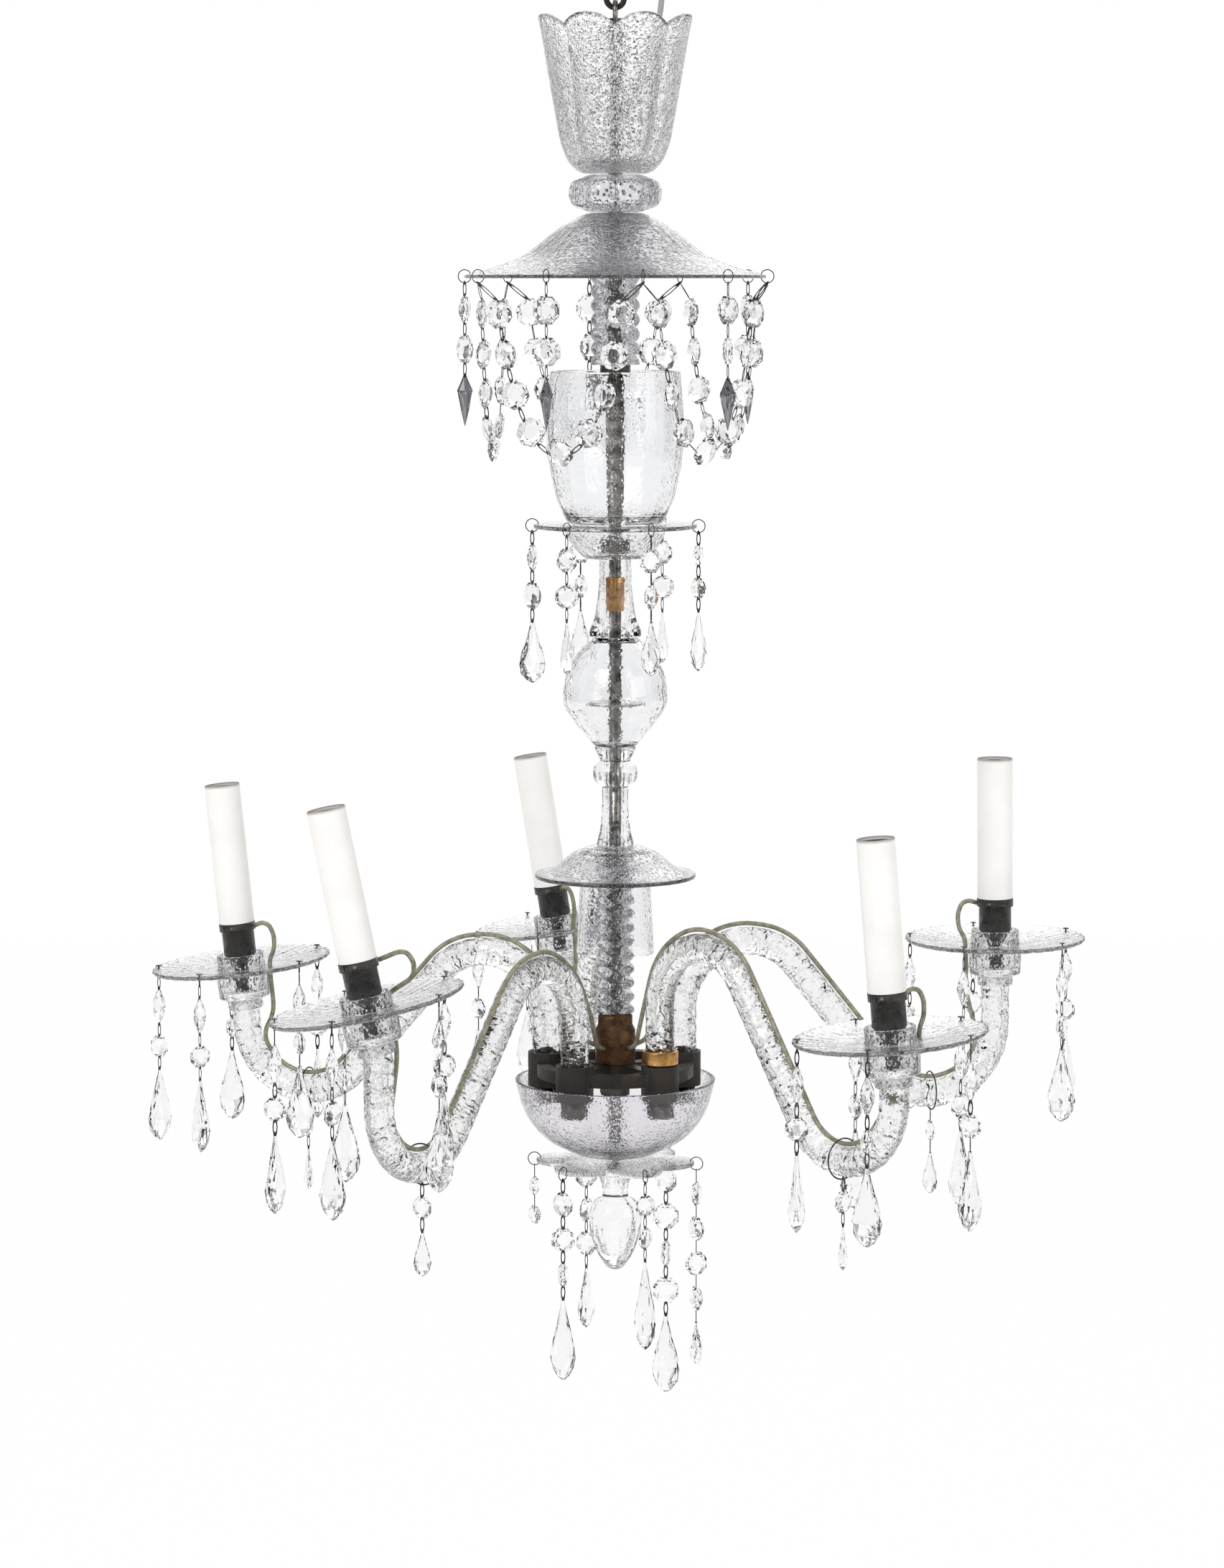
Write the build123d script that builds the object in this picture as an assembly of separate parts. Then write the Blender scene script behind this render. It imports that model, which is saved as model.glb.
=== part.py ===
from build123d import *
import os
from math import asin, asinh, atan2, cos, cosh, degrees, hypot, pi, radians, sin, sinh, tan

# Crystal chandelier, in millimetres. The origin is the hanging point, at the inner top of the
# suspension link. +X is to the right, +Y is to the back and +Z is up.

# Fits
seat_gap = 0.3          # between pieces that are stacked or stand in one another
bore_clearance = 0.4    # around the rod, in the bores of the glass
slip_clearance = 0.4    # between a candle sleeve and its lampholder
link_gap = 0.3          # between a wire link and the crystal that hangs on it

# Suspension link and central rod
link_wire = 4.0
link_width = 16.0
link_inner_length = 32.0
eye_wire = 3.5
eye_inner_radius = 4.5
rod_radius = 5.0
sleeve_pipe_radius = 8.0
collar_radius = 10.5
collar_height = 7.5

# Ceiling cup and neck knop, pressed glass in lobes
cup_rim_drop = 39.0
cup_height = 108.5
cup_rim_radius = 55.0
cup_base_radius = 29.0
cup_wall = 4.0
cup_floor = 6.0
cup_groove = 3.5
scallop_depth = 5.0
scallop_radius = 22.0
lobe_count = 8
knop_height = 26.0
knop_radius = 33.0
knop_groove = 3.5

# Canopy dish, the large bell with the garlands
canopy_height = 45.0
canopy_radius = 104.0
canopy_hub_radius = 24.0
canopy_shoulder_radius = 62.0
bell_flat = 12.0        # of a bell's rim
bell_shoulder_share = 0.62  # of a bell's height, from its top to its shoulder's foot
bell_bulge_share = 0.07     # of its height, in the shoulder and in the flare
rim_thickness = 3.0
hub_thickness = 5.0     # of a bell or a tumbler at its bore
hook_inset = 3.4        # from a rim's edge to the middle of its hook holes

# Twisted glass columns
rope_pitch = 10.0
rope_groove = 2.2
upper_column_length = 99.0
upper_column_radius = 17.0
lower_column_length = 106.5
lower_column_radius = 13.5

# Fluted vase and middle dish
vase_height = 105.0
vase_rim_radius = 45.0
vase_base_radius = 36.0
vase_swell = 8.5        # from the base up to the swell of the wall
vase_bulge = 3.5        # of the widest place beyond the rim
vase_wall = 2.5
vase_floor = 6.0
flute_count = 20
flute_depth = 1.2
vase_rim_above_collar = 4.0
middle_rim_radius = 56.5
middle_bowl_radius = 34.0
middle_dish_height = 24.0
middle_floor = 4.0

# Trumpet, baluster and spindle
trumpet_height = 54.0
trumpet_neck_radius = 11.0
trumpet_foot_radius = 18.0
baluster_height = 76.0
baluster_radius = 36.5
baluster_wall = 3.5
spindle_height = 68.5
spindle_bead_radius = 15.5
spindle_waist_radius = 9.0

# Lower canopy and the glass tumbler below it
lower_canopy_height = 22.5
lower_canopy_radius = 56.0
lower_canopy_hub_radius = 16.0
lower_canopy_shoulder_radius = 38.0
tumbler_height = 70.0
tumbler_radius = 24.0
tumbler_mouth_radius = 27.0
tumbler_wall = 2.5
tumbler_shoulder = 13.0

# Wiring hub and the receiver that carries the arms
hub_height = 35.0
hub_barrel_height = 23.0    # of the wide part below the hub's neck
hub_radius = 14.0
receiver_thickness = 8.5
receiver_ring_width = 9.0
spoke_width = 10.0
socket_circle_radius = 50.0
socket_height = 24.0
socket_wall = 2.6
socket_depth = 14.0
socket_drop = 10.0      # of a socket's foot below the receiver
bolt_radius = 3.0
bolt_head_radius = 9.0
bolt_head_height = 12.0
bolt_reach = 18.0       # how far a bolt goes up into the arm

# Receiver bowl, bottom dish and finial
bowl_rim_radius = 70.0
bowl_height = 54.0
bowl_drop = 2.0         # of the bowl's rim below the receiver
bowl_wall = 3.0
bowl_floor = 5.0
rod_nut_height = 14.0
rod_nut_radius = 10.0
bottom_dish_height = 14.0
bottom_dish_radius = 56.0
petal_count = 6
finial_neck_radius = 9.0
finial_neck_height = 15.0
finial_height = 67.0
finial_radius = 18.5

# Arms: each stands a little differently, as hand-fitted arms do
arm_count = 5
first_socket_azimuth = 20.0
arm_swivels = (-6.0, 7.1, -4.3, 1.5, 2.5)   # from straight outwards, as each was turned in its socket
arm_radius = 10.0
arm_reach = 231.0       # from the socket to the riser at the arm's end
arm_peaks = (89.5, 88.0, 81.5, 85.5, 100.0)     # of the centre line above the arm's foot
peak_radius = 46.0
trough_height = -25.0   # of the centre line's lowest point above the arm's foot
trough_radius = 48.0
riser_heights = (59.3, 40.7, 39.0, 64.9, 40.0)  # of the riser's end above the arm's foot
riser_bend_drop = 13.0
riser_bend_radius = 40.0

# Candles: each leans a little to -X, as hand-fitted candles do
candle_leans = (0.4, 9.0, 5.8, 11.5, 4.5)
holder_collar_depth = 8.0
holder_collar_wall = 2.4
cup_seat_radius = 19.0
cup_upper_radius = 17.0
cup_lower_height = 18.0
cup_upper_height = 13.0
candle_cup_wall = 2.0
candle_cup_floor = 4.0
bobeche_radius = 64.0
bobeche_thickness = 3.0
bobeche_rise = 5.0
bobeche_flat = 9.0      # of a bobeche round the cup, before it rises
flange_radius = 13.0
flange_height = 5.3
holder_body_radius = 11.5
holder_body_height = 17.2
holder_neck_radius = 7.0
holder_neck_height = 6.0
holder_stem_radius = 5.0
sleeve_radius = 12.5
sleeve_wall = 0.8
sleeve_length = 100.0
barrel_short = 2.0      # how far the lampholder's top lies below the sleeve's top
lamp_bore_radius = 7.0
lamp_bore_depth = 25.0

# Lamp wires
wire_radius = 1.6
wire_stand = 22.2       # from the candle's axis to the wire beside its cup
wire_hole_radius = 2.6
wire_sides = (0.0, 25.0, 0.0, 0.0, -100.0)      # where each wire passes its pan, from the inward side
wire_turns = (0.0, 0.0, 0.0, -40.0, 0.0)        # from there to where it leaves its lampholder
wire_loops = (28.0, 28.0, 28.0, 36.0, 28.0)     # from the candle's axis to its loop

# Crystals and their wires
hook_radius = 4.6
hook_wire = 0.8
hook_hole_radius = 1.4
pin_head = 3.2
pin_lift = 1.05         # of a pin's head above the sloping rim that it hangs on
pin_hole_radius = 1.3
pin_length = 8.0
link_thickness = 0.8
link_length = 8.0
octagon_size = 19.0
octagon_thickness = 7.0
canopy_hook_azimuth = -8.0
garland_sag = 116.0
garland_spread = 13.5   # how far a garland's end is pushed aside by the next one
garland_entry = 7.0     # how far below its hook a garland's first crystal hangs
middle_hook_azimuth = -5.0
middle_strings = (      # the size of the octagons, and the height and width of the drop below them
    (14.0, 42.0, 15.0), (16.0, 37.0, 18.0), (16.0, 37.0, 18.0), (18.0, 43.0, 24.0), (16.0, 37.0, 18.0),
    (16.0, 37.0, 18.0))
bottom_hook_azimuth = -9.0
bottom_strings = (  # octagons and their size, and the height and width of the drop below them
    (4, 16.0, 30.0, 20.0), (2, 14.0, 62.0, 20.0), (3, 16.0, 57.0, 21.0), (2, 12.0, 0.0, 0.0),
    (3, 16.0, 44.0, 19.0), (4, 18.0, 56.0, 25.0))
bobeche_strings = (158.0, 86.0, 14.0, 302.0, 230.0)

# Supply flex
flex_radius = 2.0
flex_points = ((33, 0, 30), (33.5, 1, 10), (33, -1, -14), (31, 1, -38), (26, 2, -60), (19, 0, -80),
               (12, -1, -97), (7.5, 0, -110))
terminal_size = (15.0, 11.0, 22.0)


def polar(radius, azimuth, height=0.0):
    return Vector(radius * cos(radians(azimuth)), radius * sin(radians(azimuth)), height)


def outline(*corners):
    # A closed face from corners of radius, height and, if the side that follows is round, its bulge
    sides = []
    for here, there in zip(corners, corners[1:] + corners[:1]):
        start, end = Vector(*here[:2]), Vector(*there[:2])
        if len(here) == 3:
            side = end - start
            middle = (start + end) / 2 + Vector(side.Y, -side.X) / side.length * here[2]
            sides.append(ThreePointArc(start, middle, end))
        else:
            sides.append(Line(start, end))
    return make_face(sides)


def turned(*corners):
    return revolve(Plane.XZ * outline(*corners), Axis.Z)


def rod(radius, bottom, top):
    return Pos(0, 0, bottom) * extrude(Circle(radius), top - bottom)


def lobed_face(radius, groove, count, height):
    # A flower outline: arcs that meet in grooves
    arcs = []
    for number in range(count):
        start, middle, end = [360 / count * (number + share) for share in (0, 0.5, 1)]
        root = radius - groove
        arcs.append(ThreePointArc(polar(root, start), polar(radius, middle), polar(root, end)))
    return Pos(0, 0, height) * make_face(arcs)


def faceted(*rings):
    # A crystal with flat facets through rings of points, where a ring of one point is a tip
    faces = []
    for ring in (rings[0], rings[-1]):
        if len(ring) > 1:
            faces.append(Face(Wire.make_polygon(ring)))
    for upper, lower in zip(rings, rings[1:]):
        count = max(len(upper), len(lower))
        for number in range(count):
            after = (number + 1) % count
            corners = [upper[number % len(upper)], upper[after % len(upper)], lower[after % len(lower)],
                       lower[number % len(lower)]]
            kept = [point for place, point in enumerate(corners) if point != corners[place - 1]]
            faces.append(Face(Wire.make_polygon(kept)))
    return Solid(Shell(faces))


def octagon(size=octagon_size, thickness=octagon_thickness):
    # An octagonal bead: its top edge at the origin, its points to +X and -X
    reach = size / 2 / cos(pi / 8)
    angles = [pi / 8 + pi / 4 * n for n in range(8)]
    girdle = [(0, reach * cos(a), reach * sin(a) - size / 2) for a in angles]
    return faceted([(-thickness / 2, 0, -size / 2)], girdle, [(thickness / 2, 0, -size / 2)])


def pendant(height, width, thickness, *girths, sides=6):
    # A drop: rings at shares of the height with shares of the width, and a tip
    rings = []
    angles = [2 * pi / sides * n for n in range(sides)]
    for share, girth in girths:
        deep, wide = thickness / 2 * girth, width / 2 * girth
        rings.append([(deep * cos(a), wide * sin(a), -height * share) for a in angles])
    return faceted(*rings, [(0, 0, -height)])


def spear(height=35.0, width=13.0):
    return pendant(height, width, width * 0.7, (0, 0.25), (0.3, 1.0))


def pear(height=45.0, width=22.0):
    return pendant(height, width, width * 0.5, (0, 0.15), (0.32, 0.5), (0.7, 1.0), (0.92, 0.6))


def long_bead(height=20.0, width=10.0):
    upper, middle, lower = [
        [(girth * cos(pi / 3 * n), girth * sin(pi / 3 * n), -height * share) for n in range(6)]
        for share, girth in ((0, width * 0.18), (0.5, width / 2), (1, width * 0.18))]
    return faceted(upper, middle, lower)


def wire_link(length=link_length):
    return Pos(0, 0, -length / 2) * Box(link_thickness, link_thickness, length)


def hung(*beads):
    # Crystals hung one below another, each on a wire link, from the origin down
    pieces, depth = [], link_gap
    for number, (bead, height) in enumerate(beads):
        pieces.append(Pos(0, 0, -depth) * wire_link())
        depth += link_length + link_gap
        pieces.append(Pos(0, 0, -depth) * Rot(0, 0, 55 * sin(2.3 * number)) * bead)
        depth += height + link_gap
    return pieces


def octagons(count, size=octagon_size):
    return [(octagon(size), size)] * count


def hook_ring():
    # An octagonal wire ring in the XZ plane, about the origin
    outer = RegularPolygon(hook_radius + hook_wire / 2, 8, rotation=22.5)
    inner = RegularPolygon(hook_radius - hook_wire / 2, 8, rotation=22.5)
    return Plane.XZ * extrude(outer - inner, hook_wire / 2, both=True)


hook_bottom = (hook_radius + hook_wire / 2) * cos(pi / 8)


def at_rim(rim_radius, azimuth, rim_middle):
    # The place of a hook ring that passes through a rim's hole and round its edge
    return Rot(0, 0, azimuth) * Pos(rim_radius - hook_inset + hook_radius, 0, rim_middle)


def rim_drop(rim_radius, azimuth, rim_middle, *beads):
    place = at_rim(rim_radius, azimuth, rim_middle)
    string = [Pos(0, 0, -hook_bottom) * bead for bead in hung(*beads)]
    return [place * piece for piece in [hook_ring()] + string]


def rim_holes(rim_radius, azimuths, rim_middle):
    hole = extrude(Circle(hook_hole_radius), rim_thickness * 2, both=True)
    return [Pos(*polar(rim_radius - hook_inset, azimuth, rim_middle)) * hole for azimuth in azimuths]


def save(name, *pieces):
    solids = [solid for piece in pieces for solid in piece.solids()]
    export_step(Compound(solids), f"parts/{name}.step")


os.makedirs("parts", exist_ok=True)
bore = rod_radius + bore_clearance
wide_bore = sleeve_pipe_radius + bore_clearance

# Heights down the rod, each from the piece above it
eye_middle = -link_inner_length - eye_inner_radius + seat_gap
eye_bottom = eye_middle - eye_inner_radius - eye_wire
cup_base = -cup_rim_drop - cup_height
knop_top = cup_base - seat_gap
canopy_top = knop_top - knop_height - seat_gap
canopy_rim_middle = canopy_top - canopy_height + rim_thickness / 2
upper_column_top = canopy_top - hub_thickness - seat_gap
collar_top = upper_column_top - upper_column_length - seat_gap
vase_rim = collar_top - vase_rim_above_collar
vase_base = vase_rim - vase_height
middle_top = vase_base - seat_gap
middle_base = middle_top - middle_dish_height
lower_collar_top = middle_base + middle_floor + seat_gap + collar_height
trumpet_top = middle_base - seat_gap
baluster_top = trumpet_top - trumpet_height - seat_gap
spindle_top = baluster_top - baluster_height - seat_gap
lower_canopy_top = spindle_top - spindle_height - seat_gap
tumbler_top = lower_canopy_top - hub_thickness - seat_gap
lower_column_top = tumbler_top - hub_thickness - seat_gap
hub_top = lower_column_top - lower_column_length - seat_gap
receiver_top = hub_top - hub_height - seat_gap
receiver_bottom = receiver_top - receiver_thickness
rod_nut_top = receiver_bottom - seat_gap
bowl_rim = receiver_bottom - bowl_drop
bowl_bottom = bowl_rim - bowl_height
bottom_dish_top = bowl_bottom - seat_gap
finial_top = bottom_dish_top - bottom_dish_height - seat_gap
socket_top = receiver_bottom + socket_height - socket_drop
socket_bottom = socket_top - socket_height
arm_foot = socket_top - socket_depth + seat_gap


def suspension_link():
    side = link_width - link_wire
    middle_height = (link_wire - link_inner_length) / 2 - link_wire / 2
    path = Plane.XZ * Pos(0, middle_height) * SlotOverall(link_inner_length + link_wire, side, rotation=90)
    line = path.wire()
    return sweep(Plane(line @ 0, z_dir=line % 0) * Circle(link_wire / 2), path=line)


def central_rod():
    eye = Pos(0, 0, eye_middle) * Rot(0, 90, 0) * Torus(eye_inner_radius + eye_wire / 2, eye_wire / 2)
    shank_top = eye_bottom + eye_wire * 0.8
    shank = rod(rod_radius, finial_top - finial_neck_height, shank_top)
    pipe = rod(sleeve_pipe_radius, baluster_top + 8.0, collar_top - collar_height)
    return eye + shank + pipe


def ceiling_cup():
    sections = ((0, cup_base_radius), (5, cup_base_radius + 6.5), (20, cup_base_radius + 13),
                (cup_height * 0.48, cup_rim_radius - 8), (cup_height, cup_rim_radius))
    outer = loft([lobed_face(radius, cup_groove, lobe_count, cup_base + height)
                  for height, radius in sections])
    inner = [(radius - cup_groove - cup_wall, cup_base + height) for height, radius in sections[1:]]
    inner[0] = (inner[0][0], cup_base + cup_floor)
    above = cup_base + cup_height + 1
    hollow = turned((0, cup_base + cup_floor), *inner, (inner[-1][0], above), (0, above))
    notch_middle = cup_base + cup_height + scallop_radius - scallop_depth
    notch = Pos(cup_rim_radius - 8, 0, notch_middle) * Rot(0, 90, 0) * Cylinder(scallop_radius, 30)
    notches = [Rot(0, 0, 360 / lobe_count * number) * notch for number in range(lobe_count)]
    cutter = rod(bore, cup_base - 1, cup_base + cup_floor + 1)
    return outer - hollow - cutter - notches


def neck_knop():
    shares = ((0, 0.5), (0.18, 0.84), (0.5, 1.0), (0.82, 0.84), (1, 0.5))
    sections = []
    for share, girth in shares:
        height = knop_top - knop_height * share
        sections.append(lobed_face(knop_radius * girth, knop_groove * girth, lobe_count, height))
    return loft(sections) - rod(bore, knop_top - knop_height - 1, knop_top + 1)


def bell(top, height, hub_radius, shoulder_radius, rim_radius, hook_azimuths):
    # A glass bell: a bored hub, a round shoulder and a flare to a flat rim
    shoulder = top - height * bell_shoulder_share
    bulge = height * bell_bulge_share
    rim_top = top - height + rim_thickness
    wall = rim_thickness
    shell = turned(
        (bore, top - hub_thickness), (hub_radius - wall, top - hub_thickness, -bulge),
        (shoulder_radius - wall, shoulder - wall, bulge), (rim_radius - bell_flat, rim_top - wall),
        (rim_radius, rim_top - wall), (rim_radius, rim_top), (rim_radius - bell_flat, rim_top, -bulge),
        (shoulder_radius, shoulder, bulge), (hub_radius, top), (bore, top))
    return shell - rim_holes(rim_radius, hook_azimuths, rim_top - wall / 2) if hook_azimuths else shell


def rope_column(top, length, radius, pipe_bore):
    # A glass column with a rounded rib for each turn of its twist
    turns = round(length / rope_pitch)
    rib = length / turns
    side = [(radius - rope_groove, top - length + rib * number, rope_groove) for number in range(turns)]
    return turned((pipe_bore, top - length), *side, (radius - rope_groove, top), (pipe_bore, top))


def fluted_vase():
    # The wall swells between the base and the rim, in upright ribs that meet in grooves
    girths = ((0, vase_base_radius), (0.28, vase_base_radius + vase_swell),
              (0.6, vase_rim_radius + vase_bulge), (1, vase_rim_radius))
    ribbed = loft([lobed_face(radius, flute_depth, flute_count, vase_base + vase_height * share)
                   for share, radius in girths])
    inner = [(radius - flute_depth - vase_wall, vase_base + vase_height * share) for share, radius in girths]
    inner[0] = (inner[0][0], vase_base + vase_floor)
    hollow = turned((0, vase_base + vase_floor), *inner, (inner[-1][0], vase_rim + 1), (0, vase_rim + 1))
    return ribbed - hollow - rod(wide_bore, vase_base - 1, vase_rim)


def middle_dish(hook_azimuths):
    wall = rim_thickness
    rim_bottom = middle_top - wall
    body = turned(
        (wide_bore, middle_base), (middle_bowl_radius * 0.62, middle_base, 2.5),
        (middle_bowl_radius, rim_bottom - 4), (middle_bowl_radius + 4, rim_bottom),
        (middle_rim_radius, rim_bottom), (middle_rim_radius, middle_top),
        (middle_bowl_radius - wall, middle_top), (middle_bowl_radius - wall, rim_bottom - 4, -2.5),
        (middle_bowl_radius * 0.62, middle_base + middle_floor), (wide_bore, middle_base + middle_floor))
    return body - rim_holes(middle_rim_radius, hook_azimuths, middle_top - wall / 2)


def trumpet_stem():
    bottom = trumpet_top - trumpet_height
    return turned(
        (wide_bore, bottom + 6), (bore, bottom + 6), (bore, bottom), (trumpet_foot_radius, bottom),
        (trumpet_foot_radius, bottom + 4, -5.0), (trumpet_neck_radius, trumpet_top),
        (wide_bore, trumpet_top))


def glass_baluster():
    bottom, top = baluster_top - baluster_height, baluster_top
    widest = top - baluster_height * 0.56
    wall = baluster_wall
    return turned(
        (bore, bottom), (14, bottom, 3.5), (baluster_radius - 4, widest - 14, 2.8),
        (baluster_radius - 2, widest + 16, 3.0), (16, top), (bore, top), (bore, top - wall),
        (14, top - wall, -3.0),
        (baluster_radius - 2 - wall, widest + 15, -2.8), (baluster_radius - 4 - wall, widest - 13, -3.5),
        (14, bottom + wall), (bore, bottom + wall))


def spindle():
    bottom = spindle_top - spindle_height
    bead = spindle_top - spindle_height * 0.27
    return turned(
        (bore, bottom), (13, bottom, -2.4), (spindle_waist_radius, bottom + spindle_height * 0.42, -0.8),
        (spindle_waist_radius, bead - 9, 6.0), (spindle_waist_radius + 1, bead + 9, -1.5),
        (14.5, spindle_top), (bore, spindle_top))


def tumbler():
    bottom = tumbler_top - tumbler_height
    inner, mouth = tumbler_radius - tumbler_wall, tumbler_mouth_radius - tumbler_wall
    shoulder = tumbler_top - tumbler_shoulder
    seat = lower_column_radius + seat_gap
    return turned((bore, tumbler_top - hub_thickness), (seat, tumbler_top - hub_thickness),
                  (inner, shoulder - tumbler_wall), (mouth, bottom), (tumbler_mouth_radius, bottom),
                  (tumbler_radius, shoulder, 1.5), (bore + 5, tumbler_top), (bore, tumbler_top))


def wiring_hub():
    bottom = hub_top - hub_height
    shoulder, neck = bottom + hub_barrel_height, hub_radius - 2
    return turned((bore, bottom), (hub_radius, bottom), (hub_radius, shoulder), (neck, shoulder + 4),
                  (neck, hub_top - 2), (neck - 2, hub_top), (bore, hub_top))


def receiver(sockets):
    # A ring on spokes, with a socket for the foot of each arm
    ring = rod(socket_circle_radius + receiver_ring_width / 2, receiver_bottom, receiver_top)
    ring -= rod(socket_circle_radius - receiver_ring_width / 2, receiver_bottom - 1, receiver_top + 1)
    body = ring + rod(hub_radius, receiver_bottom, receiver_top)
    spoke = Pos(socket_circle_radius / 2, 0, (receiver_top + receiver_bottom) / 2) * Box(
        socket_circle_radius - 2 * socket_wall, spoke_width, receiver_thickness)
    socket = rod(arm_radius + bore_clearance + socket_wall, socket_bottom, socket_top)
    inside = rod(arm_radius + bore_clearance, socket_top - socket_depth, socket_top + 1)
    inside += rod(bolt_radius + bore_clearance, socket_bottom - 1, socket_top)
    for azimuth in sockets:
        body += Rot(0, 0, azimuth) * spoke
        body += Pos(*polar(socket_circle_radius, azimuth)) * socket
    body -= [Pos(*polar(socket_circle_radius, azimuth)) * inside for azimuth in sockets]
    return body - rod(bore, receiver_bottom - 1, receiver_top + 1)


def arm_bolt():
    head = Pos(0, 0, socket_bottom - seat_gap - bolt_head_height) * extrude(
        RegularPolygon(bolt_head_radius, 6), bolt_head_height)
    return head + rod(bolt_radius, socket_bottom - seat_gap, arm_foot + bolt_reach - 1)


def collar(top, inner_radius):
    return turned((inner_radius, top - collar_height), (collar_radius, top - collar_height),
                  (collar_radius, top), (inner_radius, top))


def rod_nut():
    nut = Pos(0, 0, rod_nut_top - rod_nut_height) * extrude(RegularPolygon(rod_nut_radius, 6), rod_nut_height)
    return nut - rod(rod_radius + seat_gap, rod_nut_top - rod_nut_height - 1, rod_nut_top + 1)


def receiver_bowl():
    outer, inner = bowl_rim_radius, bowl_rim_radius - bowl_wall
    base = bowl_rim_radius * 0.36
    return turned((bore, bowl_bottom), (base, bowl_bottom, 15.0), (outer, bowl_rim), (inner, bowl_rim, -14.5),
                  (base, bowl_bottom + bowl_floor), (bore, bowl_bottom + bowl_floor))


def bottom_dish(hook_azimuths):
    # A six-petalled star: a turned dish trimmed to petals
    top, bottom = bottom_dish_top, bottom_dish_top - bottom_dish_height
    wall = rim_thickness
    dish = turned((bore, bottom), (12, bottom, -3.0), (bottom_dish_radius, top - wall - 3),
                  (bottom_dish_radius, top - 3), (28, top - 1), (20, top), (bore, top))
    petals = []
    for azimuth in hook_azimuths:
        petal = Ellipse(bottom_dish_radius * 0.56, bottom_dish_radius * 0.40)
        petals.append(Rot(0, 0, azimuth) * Pos(bottom_dish_radius * 0.5, 0) * petal)
    star = Pos(0, 0, bottom - 1) * extrude(Circle(bottom_dish_radius * 0.55) + petals, bottom_dish_height + 2)
    rim_middle = top - 3 - wall / 2
    return (dish & star) - rim_holes(bottom_dish_radius, hook_azimuths, rim_middle - 0.3)


def finial():
    # A turned neck and an egg, with a blind hole for the rod's end
    egg_top, bottom = finial_top - finial_neck_height, finial_top - finial_height
    body = turned(
        (0, bottom), (3, bottom, 4.5), (finial_radius, egg_top - 22, 5.0),
        (finial_neck_radius, egg_top, -2.0), (finial_neck_radius + 3, finial_top), (0, finial_top))
    return body - rod(rod_radius + seat_gap, egg_top - seat_gap, finial_top + 1)


def arm_frame(number):
    # Where an arm stands in its socket, with +X along the arm
    azimuth = first_socket_azimuth + 360 / arm_count * number
    return Pos(*polar(socket_circle_radius, azimuth, arm_foot)) * Rot(0, 0, azimuth + arm_swivels[number])


def arm_bends(number):
    # The heights of the middles of the arm's two bends, and the slope of the straight run between them
    peak, trough = arm_peaks[number] - peak_radius, trough_height + trough_radius
    across = arm_reach - peak_radius - trough_radius
    slope = atan2(peak - trough, across) + asin((peak_radius + trough_radius) / hypot(peak - trough, across))
    return peak, trough, degrees(slope)


def riser_bend(number):
    return Vector(arm_reach, 0, riser_heights[number] - riser_bend_drop)


def candle_frame(number):
    # The riser's end, with +Z up the candle's leaning axis
    arm = arm_frame(number)
    bend = (arm * Pos(*riser_bend(number))).position
    azimuth = first_socket_azimuth + 360 / arm_count * number + arm_swivels[number]
    return Pos(*bend) * Rot(0, -candle_leans[number], 0) * Pos(0, 0, riser_bend_drop) * Rot(0, 0, azimuth)


def arm_route(number):
    # Up from the foot, over the peak, down a straight run, round the trough and up the riser
    peak, trough, slope = arm_bends(number)
    corner = tan(radians(90 + slope) / 2)
    points = [(0, 0, 0), (0, 0, peak + peak_radius * corner), (arm_reach, 0, trough - trough_radius * corner),
              riser_bend(number)]
    arm = arm_frame(number)
    world = [(arm * Pos(*point)).position for point in points]
    world.append(candle_frame(number).position)
    return FilletPolyline(*world, radius=[peak_radius, trough_radius, riser_bend_radius])


def glass_arm(number):
    route = arm_route(number)
    bar = sweep(Plane(route @ 0, z_dir=route % 0) * Circle(arm_radius), path=route)
    return bar - arm_frame(number) * rod(bolt_radius + bore_clearance, -1, bolt_reach)


# Candle pieces about the candle's axis, from the riser's end up
cup_top = seat_gap + cup_lower_height + cup_upper_height
flange_bottom = cup_top + holder_body_height


def candle_cup():
    floor_bottom = seat_gap
    shoulder = floor_bottom + cup_lower_height
    collar_bore = arm_radius + bore_clearance / 2
    collar_outer = collar_bore + holder_collar_wall
    inner = cup_upper_radius - candle_cup_wall
    return turned(
        (collar_bore, -holder_collar_depth), (collar_outer, -holder_collar_depth),
        (collar_outer, floor_bottom - 1.5), (cup_seat_radius - 1, floor_bottom - 0.5, 0.8),
        (cup_seat_radius, shoulder), (cup_upper_radius, shoulder), (cup_upper_radius, cup_top),
        (inner, cup_top), (inner, floor_bottom + candle_cup_floor),
        (0, floor_bottom + candle_cup_floor), (0, floor_bottom),
        (collar_bore, floor_bottom))


def lampholder():
    stem_bottom = seat_gap * 2 + candle_cup_floor
    neck_bottom = cup_top - holder_neck_height
    flange_top = flange_bottom + flange_height
    barrel = sleeve_radius - sleeve_wall - slip_clearance
    top = flange_top + seat_gap + sleeve_length - barrel_short
    return turned(
        (0, stem_bottom), (holder_stem_radius, stem_bottom), (holder_stem_radius, neck_bottom),
        (holder_neck_radius, neck_bottom), (holder_body_radius, cup_top),
        (holder_body_radius, flange_bottom), (flange_radius, flange_bottom),
        (flange_radius, flange_top), (barrel, flange_top), (barrel, top), (lamp_bore_radius, top),
        (lamp_bore_radius, top - lamp_bore_depth), (0, top - lamp_bore_depth))


def candle_sleeve():
    bottom = flange_bottom + flange_height + seat_gap
    tube = rod(sleeve_radius, bottom, bottom + sleeve_length)
    return tube - rod(sleeve_radius - sleeve_wall, bottom - 1, bottom + sleeve_length + 1)


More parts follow.
